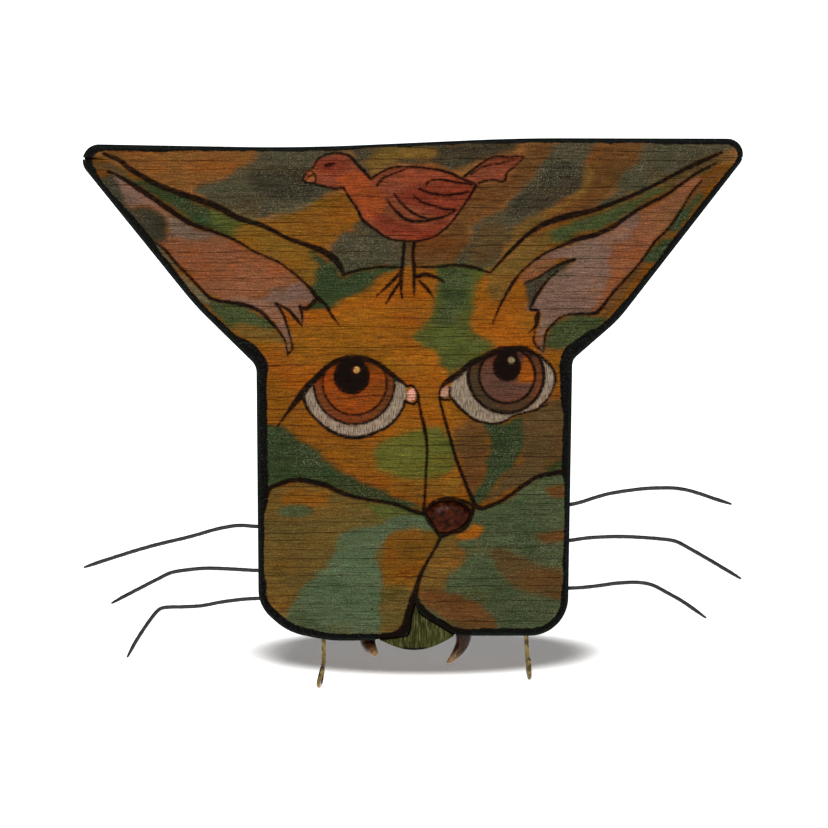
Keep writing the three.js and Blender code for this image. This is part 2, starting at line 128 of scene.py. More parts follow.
# Burned and painted lines, as points (x, z) with the line's width there. All in millimetres.
LINES = {
    "left ear": [
        [
            (-142, 23, 1.6), (-135, 20, 2.2), (-129, 15.5, 2.6), (-116.5, 8.5, 2.8), (-101.5, 3, 3.4),
            (-90.5, -1, 3.4), (-80, -6.5, 3), (-69, -10, 2.4), (-58, -15.5, 2), (-47, -19.5, 2.6),
            (-40, -22.5, 3.6), (-34.5, -27, 3.6), (-32, -32, 1.8),
        ],
        [(-32, -32.5, 1.6), (-27.5, -31, 1.2), (-15.5, -29, 1.1), (-6.5, -29, 1)],
        [
            (-140, 15, 1.2), (-134.5, 12.5, 1.8), (-129, 9, 2.4), (-121.5, 4, 2.6), (-112, -2.5, 2.6),
            (-102, -9, 2.2), (-91, -13, 1.6), (-83, -16, 1.2), (-72.5, -22, 0.9), (-61.5, -27, 0.9),
            (-54, -32.5, 1), (-48, -38, 1.4), (-44, -43, 2.4), (-40, -46.5, 1.6), (-37.5, -51, 1.3),
            (-34, -55.5, 0.4),
        ],
        [
            (-118.5, -17.5, 0.8), (-114.5, -20.5, 1), (-109, -27, 1.1), (-103, -33, 1.2),
            (-98, -38.5, 1.3), (-93.5, -43, 1.8), (-89, -44.5, 1.6), (-82, -45.5, 1.9), (-75.5, -47, 2),
            (-70, -49.5, 1.9), (-66, -53.5, 1.6), (-62, -58, 1.3), (-59, -62.5, 0.9), (-58, -67, 0.7),
            (-57.5, -69.5, 0.4),
        ],
        [
            (-57.5, -69, 0.5), (-55.5, -67, 0.9), (-56, -63, 0.8), (-57, -59, 0.9), (-58.5, -54, 1.2),
            (-60.5, -49, 1.2), (-63.5, -45.5, 0.6),
        ],
        [(-63, -45.5, 0.6), (-57, -49, 1.5), (-53.5, -53, 1.8), (-51, -56, 0.6)],
        [(-51, -55.5, 0.5), (-51, -50.5, 1), (-52, -47, 1.6)],
        [(-52, -47.5, 1.2), (-49, -48, 1.8), (-46.5, -46, 2.2), (-44, -43.5, 2.4)],
    ],
    "scalp": [
        [
            (0, -29, 1), (10, -29, 1), (18.5, -28, 1.3), (24, -28.5, 1.8), (29, -29.5, 1.6),
            (35, -31.5, 1),
        ],
    ],
    "right ear": [
        [
            (35.5, -31.5, 0.8), (42.5, -24, 1.5), (50.5, -16, 1.9), (57, -11, 2.4), (63.5, -8, 3.2),
            (71.5, -5.5, 3.4), (82.5, -3, 2.6), (91, 0, 2.2), (101, 4, 2), (113.5, 10, 1.8), (123, 15, 2),
            (133.5, 20, 2.2), (141.5, 23.5, 1.4),
        ],
        [
            (36.5, -55.5, 0.4), (39, -49, 0.8), (42.5, -42, 1.1), (45.5, -37, 1.7), (49.5, -31.5, 1),
            (54.5, -27, 1), (61, -22.5, 1.2), (66.5, -20, 1.2), (74.5, -16.5, 2.2), (82.5, -14.5, 2.6),
            (91, -11, 2.4), (99, -5.5, 1.8), (107, -0.5, 1.6), (115, 3.5, 1.5), (123, 9, 1.4),
            (131, 14.5, 1.4), (139, 18.5, 1),
        ],
        [
            (132.5, 10.5, 0.8), (128.5, 6, 0.8), (123, -3, 0.9), (117.5, -11, 1), (111, -17.5, 1.1),
            (105.5, -25.5, 1), (99, -33, 1), (93, -39.5, 1.2), (87.5, -46.5, 1.6), (85, -49.5, 2),
            (82, -50.5, 1.6), (74.5, -50.5, 1.1), (69, -51.5, 1), (65, -54.5, 1.1), (61.5, -58.5, 1.1),
            (60.5, -63, 0.9), (60, -67, 0.6),
        ],
        [
            (74, -25.5, 1.8), (68, -27.5, 1.2), (62.5, -30.5, 0.8), (57, -34, 0.7), (51, -36.5, 0.6),
        ],
        [
            (66.5, -30.5, 0.6), (61.5, -35.5, 1), (57.5, -41, 1.5), (54.5, -46.5, 1.2), (54, -48.5, 1),
            (57.5, -49, 1.4), (57, -52.5, 2.8), (56.5, -56, 1.8), (53, -59.5, 0.3),
        ],
        [(56, -58.5, 0.7), (55.5, -63, 0.9), (57.5, -66, 1), (60, -68, 0.5)],
    ],
    "left eye": [
        [
            (-62.5, -102.5, 0.4), (-58.5, -97, 1.2), (-55.5, -93, 2.2), (-52, -88.5, 3.8),
            (-48, -83.5, 3.6), (-43.5, -79, 3.2), (-39.5, -75, 2.6), (-34.5, -72, 2.8), (-29.5, -71, 3.4),
            (-23.5, -71, 3.2), (-17, -73, 2.4), (-11.5, -77, 2.8), (-6.5, -81, 2.2), (-3, -83.5, 1.2),
        ],
        [
            (-50.5, -88.5, 2), (-48, -95, 1.3), (-43.5, -100, 1.3), (-38.5, -104, 1.5),
            (-33, -106.5, 1.6), (-28, -107.5, 1.9), (-22.5, -107, 1.8), (-17, -105, 1.5),
            (-12, -102.5, 1.3), (-8, -99, 1.3), (-5, -94.5, 1.2), (-3.5, -90.5, 1.4),
        ],
        [
            (-3, -84, 1.1), (-0.5, -83.5, 1.2), (1.5, -86, 1.2), (2.5, -89, 1.2), (0.5, -92, 1.1),
            (-3, -91, 1),
        ],
    ],
    "right eye": [
        [
            (12, -88, 0.8), (13, -84.5, 1.4), (16, -81.5, 3), (20, -79, 3.4), (24, -75.5, 3.2),
            (28, -72.5, 3), (32.5, -70.5, 3.2), (36.5, -68.5, 3.6), (41, -67, 3.4), (46, -66.5, 3),
            (51, -66.5, 2.8), (54.5, -68, 2), (59.5, -71, 1.5), (63, -74, 1.4), (65, -77.5, 1.3),
            (65.5, -80.5, 1.2), (64.5, -84.5, 0.9), (62, -89.5, 0.8), (58, -93.5, 0.8),
        ],
        [
            (17, -84.5, 1), (17, -88, 1.2), (20, -92, 1.5), (23.5, -95.5, 1.5), (28, -99, 1.3),
            (33, -100.5, 1), (38, -101, 1), (43, -99.5, 0.9), (46, -97.5, 0.9), (51.5, -96, 0.8),
            (56.5, -94.5, 1), (61.5, -92.5, 0.6),
        ],
        [(12, -87.5, 0.9), (13, -89.5, 0.9), (17, -90, 1)],
    ],
    "nose": [
        [
            (2.5, -89.5, 1), (3.5, -95.5, 1.3), (5.5, -104, 1.8), (6.5, -112, 1.4), (6, -123, 1),
            (5.5, -134, 1.1), (5, -141, 1.9),
        ],
        [
            (12, -88.5, 0.8), (13.5, -95, 1.4), (16.5, -105.5, 1.5), (19.5, -116, 1.6), (23, -125.5, 1.7),
            (26.5, -134, 1.9), (28.5, -139, 2.4),
        ],
        [
            (5, -142, 1.6), (10, -137, 1.2), (16, -135.5, 1.4), (22.5, -136.5, 1.4), (27.5, -139, 1.6),
            (27.5, -142.5, 1.4), (25.5, -147, 1.6), (22.5, -150, 2.2), (17.5, -151.5, 1.2),
            (13, -153, 1.8), (10, -150, 1.2), (6.5, -145, 1.2), (5, -142, 1.6),
        ],
        [
            (13, -153, 1.6), (10.5, -158, 1.3), (7, -164, 1.4), (3.5, -171, 1.8), (2, -175.5, 2.4),
            (1, -179.5, 3.4), (0, -183, 5.2),
        ],
    ],
    "cheeks": [
        [
            (-67.5, -134, 2.4), (-66, -131, 2.2), (-63, -129.5, 2.2), (-57.5, -127.5, 2.5),
            (-52, -127, 2.5), (-45.5, -128, 2.6), (-40, -129.5, 2.7), (-35, -132, 2.4),
            (-28, -134.5, 1.8), (-21, -136, 1.5), (-14, -137, 1.6), (-7, -138.5, 1.8), (-1, -141, 1.9),
            (4.5, -142.5, 2.4),
        ],
        [
            (28, -139, 3), (31.5, -140, 2.4), (35.5, -139, 2), (40, -137, 1.8), (45.5, -133.5, 1.8),
            (51, -129.5, 2), (57.5, -125.5, 2), (64, -124, 2.4), (70.5, -123, 3),
        ],
        [
            (0, -182, 4), (-0.5, -185, 4.6), (-2, -189, 4.2), (-3, -193, 4.4), (-5, -197, 5),
            (-9.5, -199, 3.6), (-16, -199.5, 2.2),
        ],
        [
            (1.5, -182, 2.4), (3.5, -185, 2), (6, -188, 2.2), (9.5, -191.5, 2.4), (14.5, -194.5, 2.8),
            (20, -196.5, 3), (26, -197.5, 3),
        ],
    ],
    "bird": [
        [
            (-45.5, 17, 0.6), (-43.5, 20.5, 0.8), (-38.5, 23, 0.9), (-32.5, 23, 1), (-28.5, 21.5, 1.2),
            (-25.5, 18, 1.4), (-22, 14.5, 1.4), (-19.5, 11.5, 1.3),
        ],
        [
            (-19.5, 11.5, 1.1), (-15.5, 14, 0.9), (-9.5, 16.5, 0.9), (-2, 17, 0.9), (5, 16.5, 1),
            (12, 15.5, 1.2), (18.5, 13.5, 1.4), (23.5, 11, 1.3), (29, 9, 1),
        ],
        [(-16.5, 8.5, 1), (-14, 11.5, 0.8), (-8.5, 14, 0.7), (-3, 16, 0.6)],
        [(-46, 9.5, 0.9), (-41, 8, 1), (-36, 7, 1.1), (-32, 7.5, 1.1)],
        [
            (-32, 7.5, 1.1), (-29, 2.5, 1), (-25.5, -2.5, 1.1), (-23, -7.5, 1.6), (-17, -12, 1.2),
            (-12, -15.5, 1.1), (-5, -17, 1.2), (1.5, -17, 1.1), (7.5, -16, 1), (13.5, -12.5, 1),
            (18.5, -7.5, 0.9), (22, -2.5, 0.9), (25.5, 2.5, 1.1), (29, 8.5, 1.3),
        ],
        [
            (23.5, 12.5, 1.4), (28, 16, 1), (32, 19, 1), (37.5, 21.5, 0.9), (44, 21.5, 0.9),
            (50.5, 21.5, 0.7), (46.5, 17, 0.8), (43, 14, 0.9), (42, 10.5, 1), (35.5, 11, 0.9),
            (30, 9.5, 1),
        ],
        [(26.5, 13.5, 0.6), (32, 17, 0.6), (40, 18.5, 0.6), (46, 20, 0.5)],
        [(6, 8.5, 0.8), (7.5, 10.5, 0.9), (13.5, 11, 0.9), (19.5, 10, 1.1), (27, 9, 1)],
        [(3, 7, 0.9), (7.5, 5, 1), (14.5, 4, 1.1), (20, 4.5, 1.2), (25.5, 5.5, 0.9)],
        [(0.5, 3.5, 0.8), (4, 1, 1), (10, -1, 1), (15, -2.5, 1.2), (19.5, -2.5, 0.9)],
        [
            (-8.5, 4.5, 0.7), (-5, 0, 1), (-1, -3.5, 1.2), (4, -6, 1.2), (9, -7, 1.3), (15, -5.5, 1),
            (19.5, -3, 0.8),
        ],
        [
            (-12, 2, 0.5), (-9.5, -1.5, 0.9), (-6, -5, 1.5), (-3.5, -7, 1.7), (1.5, -8, 1.2),
            (8.5, -7.5, 1.1),
        ],
        [
            (-45.5, 17, 0.7), (-48, 15, 0.7), (-50.5, 11, 0.8), (-48, 9.5, 0.9), (-45, 10, 0.7),
            (-45, 13.5, 0.7), (-47, 15.5, 0.6),
        ],
        [(-49.5, 11, 0.6), (-47.5, 12.5, 0.6), (-45, 13.5, 0.6)],
        [(-40, 17.5, 1.4), (-38, 18, 1.9), (-36, 18.5, 1)],
        [
            (-4, -17, 1.7), (-4.5, -24, 1.6), (-5, -29, 2), (-5.5, -33, 2.2), (-5.5, -39, 1.4),
            (-5, -43.5, 0.6),
        ],
        [(0.5, -17.5, 1.8), (0, -24, 1.6), (0.5, -29, 1.8), (0.5, -36.5, 1.6), (0.5, -42, 0.6)],
        [(-6, -32, 2), (-11, -37, 1.4), (-16.5, -42, 0.5)],
        [(-6, -36, 1.4), (-9.5, -41, 1.4), (-12.5, -46, 0.5)],
        [(1, -33.5, 2), (6, -32.5, 2.2), (10, -33.5, 1.7), (14.5, -36, 0.6)],
        [(3, -35.5, 1.4), (6.5, -39, 1.7), (9.5, -43, 0.5)],
    ],
}

# The stains on the board, a short palette.
STAINS = {
    "umber": "#684420",
    "rust": "#603c18",
    "ochre": "#5c4010",
    "amber": "#603c0c",
    "tan": "#584018",
    "brown": "#4c3014",
    "dark brown": "#403018",
    "loam": "#4c3c18",
    "slate": "#343020",
    "dark slate": "#282418",
    "khaki": "#44402c",
    "moss": "#2c3418",
    "dark moss": "#202c14",
    "olive": "#3c4018",
    "bright olive": "#484818",
    "sage": "#3c4830",
    "grey green": "#343c24",
    "flesh": "#5c4438",
    "rusty flesh": "#643c24",
    "burnt orange": "#7c4408",
    "brick": "#64301c",
    "orange brick": "#783414",
    "maroon": "#5c2414",
    "beak brown": "#6c3c20",
}

# Stained patches in the order they were laid on: stain, how far their edge bleeds, and their outline.
PATCHES = [
    ("ground above the scalp", "umber", 2, [
        (-153, 29), (155, 33), (155, 20), (127, 16), (104, 4), (86, -2), (68, -7), (54, -14), (42, -25),
        (35, -31), (26, -29), (12, -28), (-6, -29), (-24, -30), (-33, -33), (-38, -24), (-52, -18),
        (-80, -6), (-107, 4), (-132, 17), (-153, 25),
    ]),
    ("rust strip", "rust", 1.6, [
        (-145, 27), (-107, 27), (-70, 26), (-58, 24), (-70, 22), (-75, 18), (-80, 15), (-88, 11),
        (-96, 8), (-107, 7), (-121, 11), (-135, 19),
    ]),
    ("ochre lower edge of the strip", "rust", 2, [
        (-121, 15), (-98, 15), (-81, 18), (-86, 12), (-96, 8), (-106, 6), (-116, 10),
    ]),
    ("slate left of the bird", "slate", 1.8, [
        (-70, 25), (-47, 26), (-31, 25), (-26, 21), (-19, 13), (-31, 7), (-35, 6), (-44, 2), (-52, -1),
        (-61, -4), (-70, -7), (-80, -6), (-90, -1), (-96, 3), (-100, 6), (-87, 11), (-80, 16), (-73, 20),
    ]),
    ("dark patch in it", "dark slate", 3, [
        (-75, 13), (-59, 17), (-46, 15), (-42, 6), (-44, 2), (-58, 2), (-70, 4),
    ]),
    ("light fringe under it", "khaki", 2, [
        (-92, 0), (-80, -4), (-70, -7), (-56, -2), (-44, 2), (-52, -5), (-67, -9), (-80, -7),
    ]),
    ("orange left of the bird", "amber", 1.4, [
        (-71, -8), (-65, -6), (-52, -3), (-42, 2), (-34, 5), (-29, 4), (-22, -8), (-28, -12), (-33, -15),
        (-37, -19), (-44, -20), (-54, -17), (-65, -12),
    ]),
    ("slate under the bird", "slate", 1.2, [
        (-37, -20), (-33, -14), (-28, -11), (-23, -7), (-16, -13), (-8, -17), (-1, -18), (-2, -28),
        (-13, -28), (-24, -30), (-32, -33), (-38, -27),
    ]),
    ("brown under the bird", "brown", 1.6, [
        (0, -18), (8, -17), (15, -12), (20, -6), (26, -15), (24, -24), (18, -28), (0, -28),
    ]),
    ("brown right of the bird", "brown", 1.8, [
        (26, 9), (34, 10), (43, 10), (46, 17), (51, 22), (54, 27), (66, 27), (63, 20), (58, 15), (52, 8),
        (46, 3), (40, -3), (33, -6), (26, -9), (20, -8), (22, -1),
    ]),
    ("dark top band", "dark slate", 2, [
        (-28, 25), (-19, 26), (-6, 27), (12, 28), (31, 28), (49, 29), (46, 25), (39, 23), (31, 20),
        (26, 17), (20, 16), (8, 18), (-10, 18), (-19, 15), (-24, 19),
    ]),
    ("brown behind the bird's back", "tan", 2, [
        (-22, 20), (-17, 25), (3, 26), (12, 25), (8, 21), (-6, 19), (-13, 17), (-18, 14),
    ]),
    ("slate band right", "slate", 1.6, [
        (65, 27), (86, 28), (81, 21), (79, 15), (78, 8), (71, 3), (65, -1), (57, -6), (51, -9), (47, -11),
        (46, -17), (42, -19), (41, -23), (36, -30), (26, -28), (20, -27), (26, -16), (26, -10), (31, -7),
        (41, -3), (47, 4), (55, 11), (58, 16), (61, 21),
    ]),
    ("dark heart of the band", "dark slate", 2.6, [
        (62, 17), (74, 18), (78, 10), (70, 3), (61, -2), (49, -6), (42, -5), (49, 4), (57, 11),
    ]),
    ("lower end of the band", "dark brown", 3, [
        (29, -15), (40, -8), (46, -13), (41, -21), (35, -28), (28, -27),
    ]),
    ("rust band right", "brown", 1.6, [
        (86, 28), (105, 28), (103, 20), (96, 12), (92, 6), (86, -1), (79, -4), (68, -6), (61, -10),
        (53, -16), (46, -21), (41, -24), (43, -19), (47, -16), (48, -11), (57, -6), (65, -1), (71, 3),
        (78, 8), (79, 16), (81, 21),
    ]),
    ("orange edge of the band", "tan", 2, [
        (80, 17), (83, 15), (80, 6), (70, -1), (61, -6), (51, -13), (45, -21), (41, -24), (44, -18),
        (48, -11), (58, -5), (68, 0), (77, 7),
    ]),
    ("olive right", "slate", 2, [
        (105, 28), (151, 27), (139, 22), (127, 17), (111, 9), (100, 4), (86, -2), (86, 0), (92, 6),
        (97, 13), (103, 20),
    ]),
    ("left ear rim green", "dark moss", 2, [
        (-131, 11), (-121, 10), (-109, 5), (-93, -1), (-80, -7), (-70, -11), (-77, -14), (-83, -15),
        (-92, -12), (-103, -7), (-114, 0), (-125, 6),
    ]),
    ("left ear rim bright end", "olive", 3, [
        (-92, -3), (-78, -8), (-70, -11), (-77, -15), (-85, -14), (-92, -10),
    ]),
    ("left ear rim tip", "dark brown", 1.6, [
        (-150, 21), (-145, 19), (-138, 18), (-128, 11), (-122, 8), (-132, 10), (-139, 16), (-146, 17),
    ]),
    ("left ear rim ochre", "ochre", 2, [
        (-79, -10), (-70, -10), (-57, -17), (-46, -21), (-43, -28), (-45, -39), (-50, -36), (-59, -28),
        (-70, -23), (-80, -18), (-83, -14),
    ]),
    ("left ear tip skin", "flesh", 1.2, [
        (-138, 14), (-131, 10), (-121, 3), (-109, -6), (-98, -12), (-91, -14), (-86, -17), (-95, -19),
        (-104, -18), (-114, -18), (-117, -18), (-113, -14), (-113, -8), (-117, -4), (-124, -1),
        (-130, -2), (-134, 5),
    ]),
    ("left ear skin", "rusty flesh", 1.6, [
        (-118, -17), (-112, -15), (-104, -16), (-96, -16), (-89, -14), (-80, -18), (-70, -24), (-59, -28),
        (-52, -35), (-46, -41), (-52, -41), (-61, -41), (-70, -43), (-78, -44), (-88, -44), (-95, -41),
        (-102, -34), (-110, -25),
    ]),
    ("left ear lower skin", "flesh", 1.6, [
        (-88, -45), (-80, -43), (-70, -43), (-64, -40), (-58, -39), (-53, -35), (-47, -40), (-45, -44),
        (-46, -46), (-51, -47), (-51, -55), (-56, -51), (-61, -46), (-57, -58), (-56, -66), (-58, -68),
        (-59, -62), (-62, -57), (-67, -52), (-72, -48), (-80, -46),
    ]),
    ("left ear notch", "dark slate", 1, [
        (-147, 10), (-141, 12), (-138, 13), (-134, 5), (-130, -2), (-124, -1), (-118, -3), (-114, -8),
        (-113, -13), (-114, -17), (-120, -17), (-126, -15),
    ]),
    ("left ear strip", "khaki", 0.8, [
        (-121, -17), (-118, -18), (-111, -26), (-104, -34), (-95, -43), (-92, -45), (-95, -46),
        (-103, -38), (-111, -28),
    ]),
    ("green below the left ear", "moss", 1.6, [
        (-94, -44), (-88, -45), (-80, -46), (-72, -49), (-67, -53), (-62, -58), (-60, -64), (-65, -61),
        (-70, -58), (-78, -56), (-83, -58), (-90, -52),
    ]),
    ("light edge of it", "tan", 2, [
        (-83, -56), (-75, -56), (-66, -58), (-60, -63), (-70, -62), (-78, -61),
    ]),
    ("green beside the left tuft", "dark moss", 1.6, [
        (-47, -21), (-44, -23), (-38, -27), (-32, -34), (-26, -31), (-13, -29), (-7, -29), (-13, -33),
        (-19, -37), (-26, -42), (-34, -46), (-38, -48), (-45, -48), (-52, -49), (-44, -45), (-46, -39),
        (-44, -30),
    ]),
    ("right ear rim green", "moss", 2, [
        (68, -10), (81, -5), (93, -1), (109, 6), (119, 11), (132, 17), (139, 20), (135, 17), (123, 10),
        (109, 2), (98, -5), (86, -12), (74, -15), (63, -19), (58, -17), (62, -13),
    ]),
    ("right ear rim ochre", "tan", 2, [
        (42, -25), (51, -17), (60, -13), (66, -11), (62, -17), (62, -21), (54, -27), (46, -35), (43, -43),
        (37, -45), (34, -40), (35, -32),
    ]),
    ("right ear rim tip", "dark brown", 2, [
        (116, 9), (127, 17), (139, 22), (148, 22), (142, 19), (132, 14), (123, 8),
    ]),
    ("right ear rust skin", "rusty flesh", 2, [
        (129, 12), (132, 11), (127, 4), (121, -7), (111, -18), (99, -33), (88, -46), (81, -50), (84, -42),
        (90, -35), (86, -27), (95, -17), (101, -6), (114, 2),
    ]),
    ("right ear skin", "flesh", 1.6, [
        (101, -5), (104, -6), (99, -14), (91, -21), (89, -27), (91, -33), (86, -42), (81, -50), (70, -51),
        (64, -55), (61, -60), (60, -68), (58, -65), (57, -58), (59, -52), (57, -48), (53, -48), (58, -40),
        (66, -31), (74, -26), (70, -24), (62, -27), (55, -28), (62, -22), (73, -18), (84, -15), (92, -10),
    ]),
    ("right ear orange fold", "rusty flesh", 1.6, [
        (49, -34), (55, -28), (62, -25), (64, -28), (58, -33), (52, -36),
    ]),
    ("right ear notch", "dark slate", 0.8, [
        (51, -37), (58, -33), (66, -28), (74, -26), (68, -31), (62, -36), (58, -40), (55, -46), (53, -48),
        (53, -42),
    ]),
    ("strip by the right ear", "brown", 1, [
        (133, 11), (142, 15), (132, 4), (119, -13), (106, -29), (92, -47), (86, -54), (72, -55),
        (86, -51), (93, -40), (105, -26), (117, -12), (128, 5),
    ]),
    ("green in the strip", "dark moss", 1, [
        (125, -1), (133, 4), (127, -5), (121, -13), (117, -12), (119, -8),
    ]),
    ("lower green in the strip", "dark moss", 1, [
        (114, -17), (122, -17), (116, -24), (110, -27), (106, -26),
    ]),
    ("green below the right ear", "moss", 1.6, [
        (68, -52), (77, -51), (85, -51), (90, -52), (86, -57), (77, -65), (68, -67), (61, -66), (62, -60),
        (64, -55),
    ]),
    ("green on the forehead", "olive", 1.8, [
        (11, -29), (28, -29), (33, -32), (30, -37), (28, -44), (27, -51), (28, -58), (34, -62), (38, -65),
        (32, -70), (24, -75), (18, -79), (13, -75), (11, -69), (4, -66), (1, -62), (5, -56), (9, -49),
        (11, -42), (12, -35),
    ]),
    ("brighter green", "moss", 3, [
        (12, -30), (26, -30), (26, -40), (22, -49), (18, -56), (12, -54), (13, -44),
    ]),
    ("green wedge left", "dark moss", 1.6, [
        (-72, -101), (-65, -102), (-58, -104), (-52, -108), (-47, -112), (-40, -118), (-32, -123),
        (-24, -128), (-16, -131), (-8, -134), (5, -141), (-6, -139), (-21, -137), (-35, -132),
        (-46, -129), (-57, -128), (-65, -132), (-72, -135),
    ]),
    ("olive at the nose", "bright olive", 2.4, [
        (-19, -114), (-15, -110), (-7, -106), (3, -103), (12, -102), (17, -106), (19, -111), (20, -117),
        (19, -122), (12, -126), (3, -127), (-5, -127), (-12, -124), (-17, -120),
    ]),
    ("light fringe over the nose", "ochre", 2.4, [
        (-10, -129), (3, -127), (15, -126), (21, -124), (22, -130), (17, -135), (8, -136), (0, -136),
    ]),
    ("brown beside the nose", "brown", 2.4, [
        (20, -102), (34, -102), (35, -111), (34, -122), (28, -134), (24, -130), (22, -120), (19, -110),
    ]),
    ("teal right of the nose", "dark moss", 1.4, [
        (33, -100), (41, -101), (51, -98), (52, -109), (50, -114), (46, -121), (40, -126), (36, -132),
        (30, -138), (27, -136), (33, -126), (34, -119), (36, -110),
    ]),
    ("brown right of it", "dark brown", 1.6, [
        (51, -98), (68, -90), (68, -122), (62, -124), (54, -128), (44, -133), (36, -137), (33, -137),
        (39, -128), (46, -121), (51, -114),
    ]),
    ("green at the right edge", "dark moss", 1.4, [
        (61, -122), (66, -118), (73, -115), (73, -128), (64, -127),
    ]),
    ("left cheek", "loam", 1, [
        (-72, -136), (-67, -132), (-57, -129), (-46, -129), (-34, -133), (-21, -137), (-6, -140),
        (5, -143), (14, -153), (8, -164), (2, -178), (-3, -190), (-6, -196), (-15, -202), (-43, -203),
        (-66, -193), (-72, -178),
    ]),
    ("orange on the left cheek", "amber", 1.6, [
        (-60, -134), (-52, -132), (-38, -133), (-39, -138), (-52, -139), (-59, -138),
    ]),
    ("slate streak", "grey green", 1, [
        (-63, -141), (-56, -139), (-46, -140), (-45, -142), (-49, -144), (-59, -144),
    ]),
    ("olive cheek top", "olive", 1.6, [
        (-22, -137), (-12, -138), (0, -141), (7, -144), (5, -150), (-7, -147), (-17, -143),
    ]),
    ("slate on the left cheek", "sage", 1.4, [
        (9, -145), (-6, -144), (-15, -147), (-25, -149), (-31, -151), (-35, -156), (-38, -162),
        (-41, -168), (-47, -173), (-52, -178), (-56, -185), (-59, -191), (-52, -196), (-42, -198),
        (-28, -198), (-17, -199), (-15, -193), (-15, -183), (-14, -176), (-15, -169), (-17, -162),
        (-14, -157), (-10, -152), (-3, -150), (10, -150),
    ]),
    ("dark foot of the slate", "grey green", 2.4, [
        (-59, -190), (-52, -188), (-45, -191), (-38, -195), (-28, -197), (-34, -202), (-52, -201),
        (-60, -195),
    ]),
    ("rust on the left cheek", "amber", 2, [
        (-13, -158), (-10, -152), (-1, -150), (9, -151), (12, -154), (8, -162), (3, -170), (0, -178),
        (-8, -178), (-13, -174),
    ]),
    ("ochre foot of the left cheek", "loam", 2, [
        (-13, -178), (0, -178), (-3, -188), (-6, -195), (-13, -198),
    ]),
    ("ochre jaw edge", "tan", 2, [
        (-68, -173), (-59, -175), (-54, -178), (-57, -184), (-59, -191), (-65, -186),
    ]),
    ("right cheek", "grey green", 1, [
        (28, -141), (36, -139), (46, -134), (58, -126), (74, -123), (74, -191), (58, -201), (31, -201),
        (12, -195), (3, -186), (1, -178), (9, -162), (14, -153), (22, -151), (27, -145),
    ]),
    ("ochre on the right cheek", "tan", 2, [
        (14, -154), (24, -153), (30, -155), (25, -160), (22, -167), (16, -173), (15, -178), (8, -180),
        (2, -181), (2, -175), (6, -167), (10, -159),
    ]),
    ("orange spot by the nose", "burnt orange", 1, [
        (21, -153), (24, -150), (28, -147), (32, -149), (31, -152), (25, -155),
    ]),
    ("brown on the right cheek", "dark brown", 2, [
        (35, -160), (42, -159), (54, -164), (70, -170), (70, -184), (58, -180), (49, -178), (44, -174),
        (38, -168),
    ]),
    ("slate on the right cheek", "grey green", 1.6, [
        (20, -156), (26, -154), (32, -155), (35, -160), (37, -168), (41, -172), (46, -178), (54, -181),
        (68, -183), (67, -187), (60, -192), (50, -195), (38, -195), (36, -189), (30, -184), (23, -181),
        (16, -178), (16, -173), (22, -168), (25, -161),
    ]),
    ("rust foot of the right cheek", "brown", 1.8, [
        (2, -178), (15, -178), (24, -181), (30, -184), (36, -189), (37, -195), (29, -196), (18, -194),
        (11, -190), (5, -185),
    ]),
    ("rust fleck high", "brown", 1, [
        (61, -131), (68, -129), (71, -132), (70, -135), (63, -135),
    ]),
    ("rust fleck low", "brown", 1, [
        (56, -153), (62, -151), (70, -151), (70, -155), (58, -155),
    ]),
    ("bird", "brick", 0.5, [
        (-50, 11), (-47, 15), (-46, 17), (-44, 20), (-38, 22), (-32, 23), (-29, 21), (-26, 18), (-22, 14),
        (-19, 12), (-15, 14), (-10, 16), (-2, 17), (5, 17), (12, 16), (19, 14), (24, 12), (28, 16),
        (32, 19), (37, 21), (44, 22), (50, 22), (47, 17), (43, 14), (42, 11), (35, 11), (29, 9), (25, 3),
        (22, -2), (19, -8), (13, -13), (8, -16), (2, -17), (-5, -17), (-12, -15), (-17, -12), (-23, -7),
        (-26, -2), (-29, 3), (-32, 8), (-36, 7), (-41, 8), (-46, 10),
    ]),
    ("bird's breast", "orange brick", 2, [
        (-28, 16), (-22, 13), (-17, 8), (-13, 2), (-15, -6), (-21, -6), (-26, 0), (-30, 7), (-34, 9),
        (-33, 13),
    ]),
    ("bird's back", "brick", 1.6, [
        (-17, 10), (-8, 15), (5, 16), (17, 13), (26, 9), (12, 9), (-4, 9), (-12, 6),
    ]),
    ("bird's head", "maroon", 1.6, [
        (-45, 18), (-39, 21), (-33, 21), (-29, 18), (-34, 15), (-42, 15),
    ]),
    ("bird's belly", "maroon", 2, [
        (-19, -4), (-11, -6), (3, -10), (15, -7), (14, -11), (8, -15), (-2, -16), (-12, -14), (-18, -9),
    ]),
    ("bird's wing", "maroon", 1.6, [
        (3, 9), (28, 8), (22, -1), (12, -5), (0, -1), (-8, 4),
    ]),
    ("beak", "beak brown", 0.5, [
        (-50, 11), (-48, 15), (-45, 15), (-45, 11), (-48, 10),
    ]),
]

